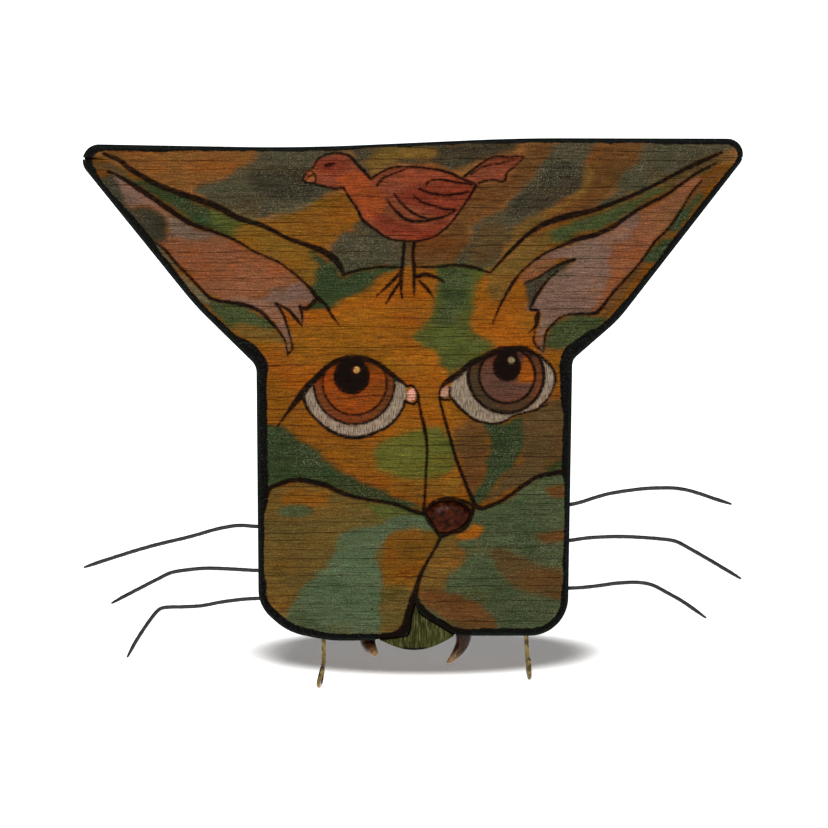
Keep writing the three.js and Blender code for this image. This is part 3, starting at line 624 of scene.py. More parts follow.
# Width of the painted border at places along the edge: x, z and width.
BORDER = [
    (-139, 27, 2.8), (-87, 27, 2.2), (-38, 26, 1.9), (8, 28, 1.6), (52, 30, 2.1), (91, 30, 2.4),
    (132, 29, 2.4), (150, 24, 2.6), (-150, 21, 4.2), (-143, 6, 2.8), (-125, -17, 4.2), (-116, -28, 3.4),
    (-99, -48, 2.8), (-85, -63, 3.2), (-78, -70, 6.6), (-73, -74, 6), (-72, -83, 4.5), (-72, -122, 4.8),
    (-72, -132, 5), (-72, -148, 2.7), (-72, -164, 2.8), (-70, -180, 3.9), (-65, -191, 4.2),
    (-43, -201, 3.4), (-22, -201, 3.2), (72, -74, 6.2), (72, -83, 5), (72, -102, 4.1), (72, -120, 4.4),
    (71, -132, 3), (71, -150, 2.5), (71, -171, 2.9), (70, -186, 3.4), (61, -196, 3.6), (40, -199, 3.6),
    (26, -199, 3.6), (74, -70, 6.6), (81, -65, 5.6), (90, -56, 3.4), (107, -37, 2.9), (124, -15, 3),
    (141, 7, 2.8),
]

EYES = {
    "left": {
        "iris": (-27.1, -82.7, 18.6, 0.8),
        "ring": (-26.8, -82.3, 14.7, 0.6),
        "pupil": (-28.2, -79.3, 8.2),
        "glint": (-25.9, -76.3, 1.8),
        "opening": [
            (-50.4, -87.4), (-47.8, -82.3), (-43.7, -78.2), (-39.1, -73.8), (-34.5, -71.3), (-29.4, -70.4),
            (-23.5, -70.4), (-17.2, -72.5), (-11.5, -76.6), (-6.4, -80.7), (-3.2, -84.2), (-3.5, -90.2),
            (-5.1, -94.3), (-7.8, -98.9), (-12, -102.8), (-17.2, -105.1), (-22.5, -107.2), (-27.8, -107.6),
            (-33.1, -106.7), (-38.4, -104), (-43.7, -100.3), (-47.8, -95),
        ],
    },
    "right": {
        "iris": (42.8, -78.8, 17.4, 1.2),
        "ring": (43.3, -78.8, 12.8, 0.8),
        "pupil": (43.2, -74.9, 6.4),
        "glint": (45.2, -71.8, 1.8),
        "opening": [
            (16.8, -85.1), (19.8, -79.1), (23.9, -75), (28.2, -72), (32.4, -69.9), (36.7, -68.1),
            (40.8, -66.7), (46.1, -65.8), (50.9, -66.2), (54.6, -67.9), (59.3, -70.8), (63, -73.8),
            (65.2, -77.5), (65.7, -80.7), (64.6, -84.6), (62.1, -89.7), (57.8, -93.4), (51.5, -95.9),
            (46.1, -97.4), (43, -99.6), (38.2, -100.8), (32.9, -100.3), (28.2, -98.7), (23.5, -95.3),
            (19.8, -91.5), (17.2, -88),
        ],
    },
}

LINE_WEIGHT = 0.78  # burned lines, as a share of the width with their scorched edges

# ---- Curves, distances and noise on the board's plane ----


def spline(points, closed=False, step=0.7):
    """A centripetal Catmull-Rom curve through the points, which may carry widths, sampled about every step mm."""
    p = np.array(points, float)
    if closed:
        p = np.vstack([p[-1], p, p[0], p[1]])
    else:
        p = np.vstack([2 * p[0] - p[1], p, 2 * p[-1] - p[-2]])
        p[0, 2:], p[-1, 2:] = p[1, 2:], p[-2, 2:]
    out = []
    for a, b, c, d in zip(p, p[1:], p[2:], p[3:]):
        gaps = [max(np.hypot(*(v - u)[:2]), 1e-4) ** 0.5 for u, v in ((a, b), (b, c), (c, d))]
        t0, t1 = 0.0, gaps[0]
        t2, t3 = t1 + gaps[1], t1 + gaps[1] + gaps[2]
        count = max(2, int(math.ceil(np.hypot(*(c - b)[:2]) / step)))
        t = np.linspace(t1, t2, count, endpoint=False)[:, None]
        ab = (t1 - t) / (t1 - t0) * a + (t - t0) / (t1 - t0) * b
        bc = (t2 - t) / (t2 - t1) * b + (t - t1) / (t2 - t1) * c
        cd = (t3 - t) / (t3 - t2) * c + (t - t2) / (t3 - t2) * d
        abc = (t2 - t) / (t2 - t0) * ab + (t - t0) / (t2 - t0) * bc
        bcd = (t3 - t) / (t3 - t1) * bc + (t - t1) / (t3 - t1) * cd
        out.append((t2 - t) / (t2 - t1) * abc + (t - t1) / (t2 - t1) * bcd)
    if not closed:
        out.append(p[-2:-1])
    return np.vstack(out)


def rounded_outline(corners, shrink=0.0, step=0.9):
    """A closed outline with each corner rounded by an arc that touches both of its edges."""
    loop = []
    n = len(corners)
    for i, (x, z, r) in enumerate(corners):
        here = np.array((x, z))
        before = np.array(corners[i - 1][:2]) - here
        after = np.array(corners[(i + 1) % n][:2]) - here
        before /= np.linalg.norm(before)
        after /= np.linalg.norm(after)
        half = math.acos(np.clip(before @ after, -1, 1)) / 2
        bisector = (before + after) / np.linalg.norm(before + after)
        centre = here + bisector * r / math.sin(half)
        a = here + before * r / math.tan(half) - centre
        b = here + after * r / math.tan(half) - centre
        start = math.atan2(a[1], a[0])
        sweep = (math.atan2(b[1], b[0]) - start + math.pi) % (2 * math.pi) - math.pi
        count = max(2, int(abs(sweep) * r / step))
        angles = start + sweep * np.linspace(0, 1, count + 1)
        loop.append(centre + r * np.stack([np.cos(angles), np.sin(angles)], 1))
    loop = np.vstack(loop)
    return inset(resample(loop, step), shrink)


def resample(loop, step):
    """Points evenly spaced along a closed loop."""
    closed = np.vstack([loop, loop[:1]])
    along = np.concatenate([[0], np.cumsum(np.hypot(*np.diff(closed, axis=0).T))])
    count = int(round(along[-1] / step))
    t = np.linspace(0, along[-1], count, endpoint=False)
    return np.stack([np.interp(t, along, closed[:, k]) for k in range(2)], 1)


def inset(loop, distance):
    """The loop moved inwards, for a loop that runs clockwise."""
    tangent = np.roll(loop, -1, 0) - np.roll(loop, 1, 0)
    tangent /= np.linalg.norm(tangent, axis=1)[:, None]
    return loop + distance * np.stack([tangent[:, 1], -tangent[:, 0]], 1)


def distance_to_line(points, line, reach=4.0):
    """Distance from each point to the edge of a line with widths (x, z, width), negative inside it."""
    out = np.full(len(points), reach)
    low, high = line[:, :2].min(0) - reach - 2, line[:, :2].max(0) + reach + 2
    near = np.flatnonzero(((points >= low) & (points <= high)).all(1))
    q = points[near]
    best = np.full(len(near), reach)
    for a, b in zip(line, line[1:]):
        along = b[:2] - a[:2]
        share = np.clip(((q - a[:2]) @ along) / max(along @ along, 1e-9), 0, 1)
        gap = np.hypot(*(q - a[:2] - share[:, None] * along).T)
        best = np.minimum(best, gap - LINE_WEIGHT * (a[2] + share * (b[2] - a[2])) / 2)
    out[near] = best
    return out


def distance_to_loop(points, loop, reach=8.0):
    """Signed distance to a closed outline, negative inside."""
    out = np.full(len(points), reach)
    low, high = loop.min(0) - reach, loop.max(0) + reach
    near = np.flatnonzero(((points >= low) & (points <= high)).all(1))
    q = points[near]
    best = np.full(len(near), 1e9)
    inside = np.zeros(len(near), bool)
    for a, b in zip(loop, np.roll(loop, -1, 0)):
        along = b - a
        share = np.clip(((q - a) @ along) / max(along @ along, 1e-9), 0, 1)
        best = np.minimum(best, ((q - a - share[:, None] * along) ** 2).sum(1))
        crosses = (a[1] > q[:, 1]) != (b[1] > q[:, 1])
        if crosses.any():
            where = a[0] + (q[:, 1] - a[1]) / (b[1] - a[1] if b[1] != a[1] else 1e-9) * along[0]
            inside ^= crosses & (q[:, 0] < where)
    best = np.sqrt(best)
    out[near] = np.where(inside, -best, np.minimum(best, reach))
    return out


def noise(points, size, seed):
    """Smooth noise from -1 to 1 whose lumps are about size = (x, z) mm across."""
    lattice = np.random.default_rng(seed).uniform(-1, 1, (64, 64))
    p = np.asarray(points, float) / np.array(size, float)
    cell = np.floor(p).astype(int)
    f = p - cell
    f = f * f * (3 - 2 * f)
    value = lambda dx, dz: lattice[(cell[:, 0] + dx) % 64, (cell[:, 1] + dz) % 64]
    low = value(0, 0) * (1 - f[:, 0]) + value(1, 0) * f[:, 0]
    high = value(0, 1) * (1 - f[:, 0]) + value(1, 1) * f[:, 0]
    return low * (1 - f[:, 1]) + high * f[:, 1]


def ease(value, low, high):
    t = np.clip((value - low) / (high - low), 0, 1)
    return t * t * (3 - 2 * t)


def linear(colour):
    """A hex colour as linear red, green and blue."""
    c = np.array([int(colour[i : i + 2], 16) / 255 for i in (1, 3, 5)])
    return np.where(c <= 0.04045, c / 12.92, ((c + 0.055) / 1.055) ** 2.4)


# ---- Meshes ----


def mesh_object(name, points, faces, smooth=True):
    """A mesh object from points in millimetres as (x, y, z)."""
    mesh = bpy.data.meshes.new(name)
    mesh.from_pydata((np.asarray(points, float) * MM).tolist(), [], [list(map(int, f)) for f in faces])
    mesh.validate()
    if smooth:
        mesh.shade_smooth()
    obj = bpy.data.objects.new(name, mesh)
    bpy.context.scene.collection.objects.link(obj)
    return obj


def outward(obj):
    """Turns every face of a closed mesh outwards."""
    bm = bmesh.new()
    bm.from_mesh(obj.data)
    bmesh.ops.recalc_face_normals(bm, faces=bm.faces)
    bm.to_mesh(obj.data)
    bm.free()
    return obj


def prism(loop, low, high):
    """A closed straight-sided body over a loop in the wall's plane, from low to high away from the wall."""
    n = len(loop)
    points = [(x, -low, z) for x, z in loop] + [(x, -high, z) for x, z in loop]
    sides = [(i, (i + 1) % n, n + (i + 1) % n, n + i) for i in range(n)]
    return outward(mesh_object("cutter", points, sides + [tuple(range(n)), tuple(range(n, 2 * n))]))


def rod(centre, axis, radius, length, sides=20):
    """A round cutter of that length, centred on a point."""
    bm = bmesh.new()
    bmesh.ops.create_cone(bm, cap_ends=True, segments=sides, radius1=radius, radius2=radius, depth=length)
    turn = Vector((0, 0, 1)).rotation_difference(Vector(axis)).to_matrix().to_4x4()
    bmesh.ops.transform(bm, matrix=Matrix.Translation(Vector(centre)) @ turn, verts=bm.verts)
    bmesh.ops.scale(bm, vec=(MM, MM, MM), verts=bm.verts)
    mesh = bpy.data.meshes.new("cutter")
    bm.to_mesh(mesh)
    bm.free()
    obj = bpy.data.objects.new("cutter", mesh)
    bpy.context.scene.collection.objects.link(obj)
    return obj


def apply_modifiers(obj):
    bpy.context.view_layer.update()
    evaluated = obj.evaluated_get(bpy.context.evaluated_depsgraph_get())
    mesh = bpy.data.meshes.new_from_object(evaluated)
    obj.modifiers.clear()
    old, obj.data = obj.data, mesh
    bpy.data.meshes.remove(old)
    return obj


def cut(obj, cutters, operation="DIFFERENCE"):
    for cutter in cutters:
        modifier = obj.modifiers.new("cut", "BOOLEAN")
        modifier.operation = operation
        modifier.solver = "MANIFOLD"
        modifier.object = cutter
    apply_modifiers(obj)
    for cutter in cutters:
        bpy.data.objects.remove(cutter)
    return obj


def coordinates(obj):
    co = np.zeros(len(obj.data.vertices) * 3)
    obj.data.vertices.foreach_get("co", co)
    return co.reshape(-1, 3)


def move_vertices(obj, co):
    obj.data.vertices.foreach_set("co", co.ravel())
    obj.data.update()


def attribute(obj, name, values, kind="FLOAT"):
    layer = obj.data.attributes.new(name, kind, "POINT")
    key = "color" if kind == "FLOAT_COLOR" else "value"
    layer.data.foreach_set(key, np.asarray(values, np.float32).ravel())


def frames_along(path):
    """Unit tangents and two normals that turn as little as they can along a path."""
    tangents = np.gradient(path, axis=0)
    tangents /= np.linalg.norm(tangents, axis=1)[:, None]
    helper = np.array((0, 1, 0)) if abs(tangents[0][1]) < 0.9 else np.array((1, 0, 0))
    normal = np.cross(tangents[0], helper)
    normal /= np.linalg.norm(normal)
    firsts = []
    for t in tangents:
        normal = normal - t * (normal @ t)
        normal /= np.linalg.norm(normal)
        firsts.append(normal)
    firsts = np.array(firsts)
    return tangents, firsts, np.cross(tangents, firsts)


def tube(name, path, radius, sides=16):
    """A closed round body along a path in mm. radius is a function of the distance along it and the angle round it."""
    path = np.asarray(path, float)
    _, first, second = frames_along(path)
    along = np.concatenate([[0], np.cumsum(np.linalg.norm(np.diff(path, axis=0), axis=1))])
    angles = np.linspace(0, 2 * math.pi, sides, endpoint=False)
    s, a = np.meshgrid(along, angles, indexing="ij")
    r = radius(s, a, along[-1])[:, :, None]
    ring = first[:, None] * np.cos(a)[:, :, None] + second[:, None] * np.sin(a)[:, :, None]
    points = (path[:, None] + r * ring).reshape(-1, 3)
    rows, n = len(path), sides
    faces = [
        (i * n + j, i * n + (j + 1) % n, (i + 1) * n + (j + 1) % n, (i + 1) * n + j)
        for i in range(rows - 1)
        for j in range(n)
    ]
    points = np.vstack([points, path[:1], path[-1:]])
    first_end, last_end = rows * n, rows * n + 1
    faces += [((j + 1) % n, j, first_end) for j in range(n)]
    faces += [((rows - 1) * n + j, (rows - 1) * n + (j + 1) % n, last_end) for j in range(n)]
    return outward(mesh_object(name, points, faces))


# ---- Material nodes ----


class Nodes:
    """A node material written as nested calls: every call makes a node and gives back its first output."""

    def __init__(self, name):
        self.material = bpy.data.materials.new(name)
        self.material.use_nodes = True
        self.tree = self.material.node_tree
        self.tree.nodes.clear()
        self.output = self.tree.nodes.new("ShaderNodeOutputMaterial")

    def node(self, kind, inputs=None, **settings):
        node = self.tree.nodes.new("ShaderNode" + kind)
        for key, value in settings.items():
            setattr(node, key, value)
        for key, value in (inputs or {}).items():
            if isinstance(value, bpy.types.NodeSocket):
                self.tree.links.new(value, node.inputs[key])
            elif value is not None:
                node.inputs[key].default_value = value
        return node

    def math(self, operation, a, b=None, c=None):
        return self.node("Math", {0: a, 1: b, 2: c}, operation=operation).outputs[0]

    def step(self, value, low, high):
        """0 below low and 1 above high, eased between them. low may be above high."""
        inputs = {"Value": value, "From Min": low, "From Max": high, "To Min": 0.0, "To Max": 1.0}
        if low > high:
            inputs.update({"From Min": high, "From Max": low, "To Min": 1.0, "To Max": 0.0})
        return self.node("MapRange", inputs, interpolation_type="SMOOTHSTEP").outputs[0]

    def remap(self, value, low, high, to_low, to_high):
        inputs = {"Value": value, "From Min": low, "From Max": high, "To Min": to_low, "To Max": to_high}
        return self.node("MapRange", inputs).outputs[0]

    def mix(self, share, a, b, blend="MIX"):
        node = self.node("Mix", data_type="RGBA", blend_type=blend)
        for index, value in ((0, share), (6, a), (7, b)):
            if isinstance(value, str):
                value = (*linear(value), 1)
            if isinstance(value, bpy.types.NodeSocket):
                self.tree.links.new(value, node.inputs[index])
            else:
                node.inputs[index].default_value = value
        return node.outputs[2]

    def place(self, scale):
        """Object coordinates stretched by scale, in cells per millimetre."""
        source = self.node("TexCoord").outputs["Object"]
        scale = [v / MM for v in scale]
        return self.node("Mapping", {"Vector": source, "Scale": scale}).outputs[0]

    def noise(self, scale, detail=2.0, roughness=0.5, distortion=0.0):
        inputs = {"Vector": self.place(scale), "Scale": 1.0, "Detail": detail}
        inputs.update({"Roughness": roughness, "Distortion": distortion})
        return self.node("TexNoise", inputs).outputs["Fac"]

    def attribute(self, name, output="Fac"):
        return self.node("Attribute", attribute_name=name).outputs[output]

    def finish(self, colour, roughness, height=None, depth=0.1, **shader):
        """Principled surface; height is in the units of depth, which is in millimetres."""
        inputs = {"Base Color": colour, "Roughness": roughness}
        inputs.update({key.replace("_", " "): value for key, value in shader.items()})
        if height is not None:
            bump = self.node("Bump", {"Height": height, "Distance": depth * MM, "Strength": 1.0})
            inputs["Normal"] = bump.outputs[0]
        surface = self.node("BsdfPrincipled", inputs)
        self.tree.links.new(surface.outputs[0], self.output.inputs[0])
        return self.material


def wood_rings(n):
    """Thin dark growth lines along x: 1 on a line. They lie at uneven distances, waver and break off in places."""
    height = n.node("SeparateXYZ", {"Vector": n.place((1, 1, 1))}).outputs[2]
    crowd = n.noise((0.004, 0.03, 0.11), 1.0, 0.5)
    waver = n.noise((0.03, 0.1, 0.08), 3.0, 0.6)
    phase = n.math("ADD", n.math("MULTIPLY", height, 0.235), n.math("MULTIPLY", crowd, 1.9))
    phase = n.math("ADD", phase, n.math("MULTIPLY", waver, 0.6))
    strong = n.step(n.noise((0.03, 0.1, 0.3), 2.0, 0.5), 0.3, 0.58)
    thick = n.remap(n.noise((0.2, 0.4, 0.6), 2.0, 0.5), 0.3, 0.7, 0.03, 0.085)
    tooth = n.math("PINGPONG", phase, 0.5)
    wide = n.math("MULTIPLY", n.step(n.math("DIVIDE", tooth, thick), 1.0, 0.15), strong)
    between = n.math("PINGPONG", n.math("MULTIPLY", phase, 2.37), 0.5)
    there = n.step(n.noise((0.055, 0.2, 0.7), 2.0), 0.48, 0.62)
    thin = n.math("MULTIPLY", n.step(between, 0.13, 0.02), there)
    return n.math("MAXIMUM", wide, n.math("MULTIPLY", thin, 0.62))


def tint(n, share, colour, factor):
    """The colour multiplied by a red, green and blue factor where share is 1."""
    return n.mix(share, colour, n.mix(1.0, colour, (*factor, 1), "MULTIPLY"))


def stained_wood(n, rings):
    """Thin stain over wood: the fibres, rings and pores show through it, with pale flecks on top that are painted
    sheen, standing in for light glinting off the varnish.
    """
    fibre = n.noise((0.12, 1.0, 2.0), 5.0, 0.68)
    fine = n.noise((0.9, 2.0, 2.4), 3.0, 0.7)
    blotch = n.noise((0.035, 0.1, 0.085), 4.0, 0.6)
    streak = n.noise((0.16, 1.0, 1.3), 3.0, 0.6)
    tone = n.math("ADD", n.remap(fibre, 0.28, 0.72, 0.46, 1.5), n.remap(fine, 0.3, 0.7, -0.34, 0.36))
    colour = n.mix(1.0, n.attribute("stain", "Color"), n.node("CombineXYZ", {0: tone, 1: tone, 2: tone}).outputs[0],
                   "MULTIPLY")
    colour = tint(n, n.step(blotch, 0.5, 0.66), colour, (1.14, 0.92, 0.7))
    colour = tint(n, n.step(blotch, 0.48, 0.34), colour, (0.8, 0.92, 0.85))
    colour = tint(n, n.step(streak, 0.54, 0.68), colour, (1.35, 1.35, 1.4))
    colour = tint(n, n.step(streak, 0.44, 0.3), colour, (0.72, 0.68, 0.64))
    # Painted highlights: tiny bluish-white flecks stand in for light sparkling on the varnish.
    painted_sparkle = n.noise((1.5, 1.8, 2.2), 2.0, 0.6)
    colour = tint(n, n.step(painted_sparkle, 0.56, 0.68), colour, (1.7, 1.75, 2.0))
    colour = tint(n, n.math("MULTIPLY", rings, 0.92), colour, (0.3, 0.2, 0.14))
    # Painted sheen: pale flecks, more of them on the green and slate stains, stand in for light glinting off the
    # varnish.
    sheen_speck = n.step(n.noise((1.5, 2.0, 2.2), 2.0, 0.75), 0.53, 0.66)
    patch = n.remap(n.noise((0.08, 0.2, 0.12), 3.0, 0.5), 0.3, 0.7, 0.15, 1.0)
    painted_sheen_flecks = n.math("MULTIPLY", n.math("MULTIPLY", sheen_speck, patch), n.attribute("painted_sheen_share"))
    colour = n.mix(painted_sheen_flecks, colour, "#8d836c")
    pore = n.step(n.noise((0.9, 1.6, 3.2), 1.0, 0.5), 0.33, 0.26)
    return tint(n, n.math("MULTIPLY", pore, 0.7), colour, (0.25, 0.2, 0.18)), fibre, fine


def eye_white(n):
    """Fine light strokes, crossing each other, over a dark ground."""
    strokes = []
    for turn in (0.7, -0.8):
        spun = n.node("Mapping", {"Vector": n.place((1, 1, 1)), "Rotation": (0, turn, 0), "Scale": (2.6, 1.0, 0.3)})
        inputs = {"Vector": spun.outputs[0], "Scale": 1.0, "Detail": 3.0}
        strokes.append(n.step(n.node("TexNoise", inputs).outputs["Fac"], 0.44, 0.66))
    body = n.mix(n.noise((0.4, 0.6, 0.6), 3.0), "#2b2017", "#5f4f3f")
    return n.mix(n.math("MAXIMUM", strokes[0], strokes[1]), body, "#948673")


def painted_board_material():
    n = Nodes("painted_board")
    rings = wood_rings(n)
    colour, fibre, fine = stained_wood(n, rings)
    colour = n.mix(n.math("MULTIPLY", n.attribute("white"), 0.72), colour, eye_white(n))

    ragged = n.math("SUBTRACT", n.noise((0.5, 0.8, 0.9), 3.0, 0.6), 0.5)
    ink_and_nose_shade_edge = n.math("ADD", n.attribute("ink_and_nose_shade"), n.math("MULTIPLY", ragged, 1.3))
    rim_edge = n.math("ADD", n.attribute("rim"), n.math("MULTIPLY", ragged, 1.2))
    worn = n.remap(n.noise((0.3, 0.7, 1.1), 3.0, 0.65), 0.34, 0.54, 0.68, 1.0)
    solid = n.step(n.attribute("ink_and_nose_shade"), -0.7, -1.1)
    ink_and_nose_shade = n.math("MULTIPLY", n.step(ink_and_nose_shade_edge, 0.2, -0.16), n.math("MAXIMUM", worn, solid))
    rim = n.step(rim_edge, 0.3, -0.2)
    scorch = n.math("MULTIPLY", n.step(ink_and_nose_shade_edge, 0.9, 0.0), 0.62)
    colour = tint(n, scorch, colour, (0.3, 0.22, 0.2))
    burn_and_nose_shade = n.mix(n.noise((0.4, 1.0, 1.2), 3.0), "#070403", "#150c07")
    paint = n.mix(n.step(n.attribute("edge"), 0.9, 2.0), "#0f1311", "#070605")
    paint = n.mix(n.math("MULTIPLY", n.step(fine, 0.55, 0.68), 0.5), paint, "#353b34")
    colour = n.mix(rim, colour, paint)
    # Burned lines in near-black, which also lay the painted shade round the nose.
    colour = n.mix(ink_and_nose_shade, colour, burn_and_nose_shade)
    raw = n.mix(n.step(fibre, 0.3, 0.7), "#76593a", "#94744a")
    raw = n.mix(n.math("MULTIPLY", rings, 0.45), raw, "#5a3c20")
    colour = n.mix(n.attribute("bare"), colour, raw)

    rough = n.math("ADD", n.remap(fibre, 0.3, 0.7, 0.42, 0.58), n.math("MULTIPLY", ink_and_nose_shade, 0.16))
    height = n.math("ADD", n.math("MULTIPLY", fibre, 0.55), n.math("MULTIPLY", fine, 0.35))
    height = n.math("SUBTRACT", height, n.math("MULTIPLY", rings, 0.7))
    height = n.math("SUBTRACT", height, n.math("MULTIPLY", ink_and_nose_shade, 0.5))
    return n.finish(colour, rough, height, 0.2, Specular_IOR_Level=0.015)


# ---- The board ----


def ink_lines():
    return [spline(line) for group in LINES.values() for line in group]


def border_width(points):
    """The painted border's width, from the nearest of the places where it is given."""
    places = np.array(BORDER)
    total = np.zeros(len(points))
    weights = np.zeros(len(points))
    for x, z, width in places:
        weight = 1 / (((points - (x, z)) ** 2).sum(1) + 4) ** 2
        total += weight * width
        weights += weight
    return total / weights


def eye_lines(points):
    """Ink of both eyes that shows between the lids: iris edge, ring and pupil."""
    best = np.full(len(points), 4.0)
    for eye in EYES.values():
        opening = distance_to_loop(points, spline(eye["opening"], closed=True))
        for name in ("iris", "ring"):
            x, z, radius, width = eye[name]
            gap = np.abs(np.hypot(*(points - (x, z)).T) - radius) - width / 2
            best = np.minimum(best, np.maximum(gap, opening))
        x, z, radius = eye["pupil"]
        pupil = np.hypot(*(points - (x, z)).T) - radius
        lid = np.maximum(np.abs(points[:, 0] - x) - radius * 0.72, z - points[:, 1])
        gap = np.maximum(np.minimum(pupil, lid), opening)
        x, z, radius = eye["glint"]
        gap = np.maximum(gap, radius - np.hypot(*(points - (x, z)).T))
        best = np.minimum(best, gap)
    return best


def ink_and_nose_shade_distance(points):
    # Painted shade: a dark ring round the nose, along the gap between the nose button and its recess, drawn with the
    # burned lines over the outline there.
    nose_gap_shade = np.abs(distance_to_loop(points, spline(NOSE, closed=True)[:, :2]) - 0.1) - 0.75
    best = np.minimum(eye_lines(points), nose_gap_shade)
    for line in ink_lines():
        best = np.minimum(best, distance_to_line(points, line))
    return best


def scatter(outline, spacing, fine, band):
    """Points over the board: an even grid, and a finer one close to the edges of the inked lines."""
    def grid(step, seed):
        low, high = outline.min(0), outline.max(0)
        x, z = np.meshgrid(np.arange(low[0], high[0], step), np.arange(low[1], high[1], step))
        points = np.stack([x.ravel(), z.ravel()], 1)
        return points + np.random.default_rng(seed).uniform(-0.22, 0.22, points.shape) * step

    wide = grid(spacing, 3)
    close = grid(fine, 4)
    edge = np.minimum(np.abs(ink_and_nose_shade_distance(close)), np.abs(ink_and_nose_shade_distance(close) + 0.4))
    close = close[edge < band]
    wide = wide[np.abs(ink_and_nose_shade_distance(wide)) >= band]
    points = np.vstack([wide, close])
    gap = distance_to_loop(points, outline, 2.0)
    return points[gap < -0.35]


def board():
    outline = rounded_outline(HEAD_CORNERS, 0.12)
    steps = 5
    rings = []
    for k in range(steps + 1):
        angle = math.pi / 2 * k / steps
        rings.append((EDGE * (1 - math.sin(angle)), FRONT - EDGE * (1 - math.cos(angle))))
    layers = list(np.linspace(FRONT - EDGE, BACK + EDGE, 9))[1:-1]
    levels = rings + [(0.0, y) for y in layers] + [(i, BACK + FRONT - y) for i, y in reversed(rings)]
    loops = [(inset(outline, i), y) for i, y in levels]
    n = len(outline)
    points = [(x, -y, z) for loop, y in loops for x, z in loop]
    faces = []
    for k in range(len(loops) - 1):
        a, b = k * n, (k + 1) * n
        faces += [(a + i, a + (i + 1) % n, b + (i + 1) % n, b + i) for i in range(n)]

    def cap(loop, base, y, inner):
        coords = [Vector(p) for p in loop] + [Vector(p) for p in inner]
        edges = [(i, (i + 1) % n) for i in range(n)]
        verts, _, tris, origins, _, _ = delaunay_2d_cdt(coords, edges, [], 1, 1e-5)
        index = []
        for place, origin in zip(verts, origins):
            if origin and origin[0] < n:
                index.append(base + origin[0])
            else:
                index.append(len(points))
                points.append((place.x, -y, place.y))
        faces.extend([tuple(index[i] for i in tri) for tri in tris])

    front_loop, front_y = loops[0]
    back_loop, back_y = loops[-1]
    spacing, fine = ((1.15, 0.55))
    cap(front_loop, 0, front_y, scatter(front_loop, spacing, fine, 0.75))
    low, high = back_loop.min(0), back_loop.max(0)
    x, z = np.meshgrid(np.arange(low[0], high[0], 4.0), np.arange(low[1], high[1], 4.0))
    coarse = np.stack([x.ravel(), z.ravel()], 1)
    coarse = coarse[distance_to_loop(coarse, back_loop, 3.0) < -1.5]
    cap(back_loop, (len(loops) - 1) * n, back_y, coarse)
    obj = outward(mesh_object("board", points, faces))

    mouth = [*MOUTH, (21.0, -214), (-18.0, -214)]
    cutters = [
        prism(mouth, MOUTH_FLOOR, FRONT + 3),
        prism(spline(NOSE, closed=True, step=1.2)[:, :2], NOSE_FLOOR, FRONT + 3),
        prism([(-157, 21.5), (-157, 20.5), (-146, 20.2), (-137.6, 20.3), (-145, 20.9)], FRONT - 14, FRONT + 1),
        prism([(155, 21.3), (155, 20.9), (146, 21.0), (141.5, 21.15)], FRONT - 8, FRONT + 1),
        rod((-18.9, -FRONT, -186.8), (0, 1, 0), 0.5, 6, 10),
        rod((0, -BACK - 4, -22), (0, 1, 0), 1.6, 14),
        rod((0, -BACK - 4, -35), (0, 1, 0), 1.6, 14),
    ]
    for points in WHISKERS.values():
        x, z = points[0]
        side = -math.copysign(1, x)
        cutters.append(rod((x + side * (WHISKER_ROOT / 2 - 1), -MIDDLE, z), (1, 0, 0), WIRE + 0.3, WHISKER_ROOT + 2.6))
    for x, z, *_ in FANGS.values():
        cutters.append(rod((x, -MIDDLE, z + 3), (0, 0, 1), FANG_RADIUS + 0.3, 12.6, 28))
    for x, z, *_ in HOOKS.values():
        cutters.append(rod((x, -MIDDLE, z + 5), (0, 0, 1), 1.75, 18.6))
    return cut(obj, cutters)


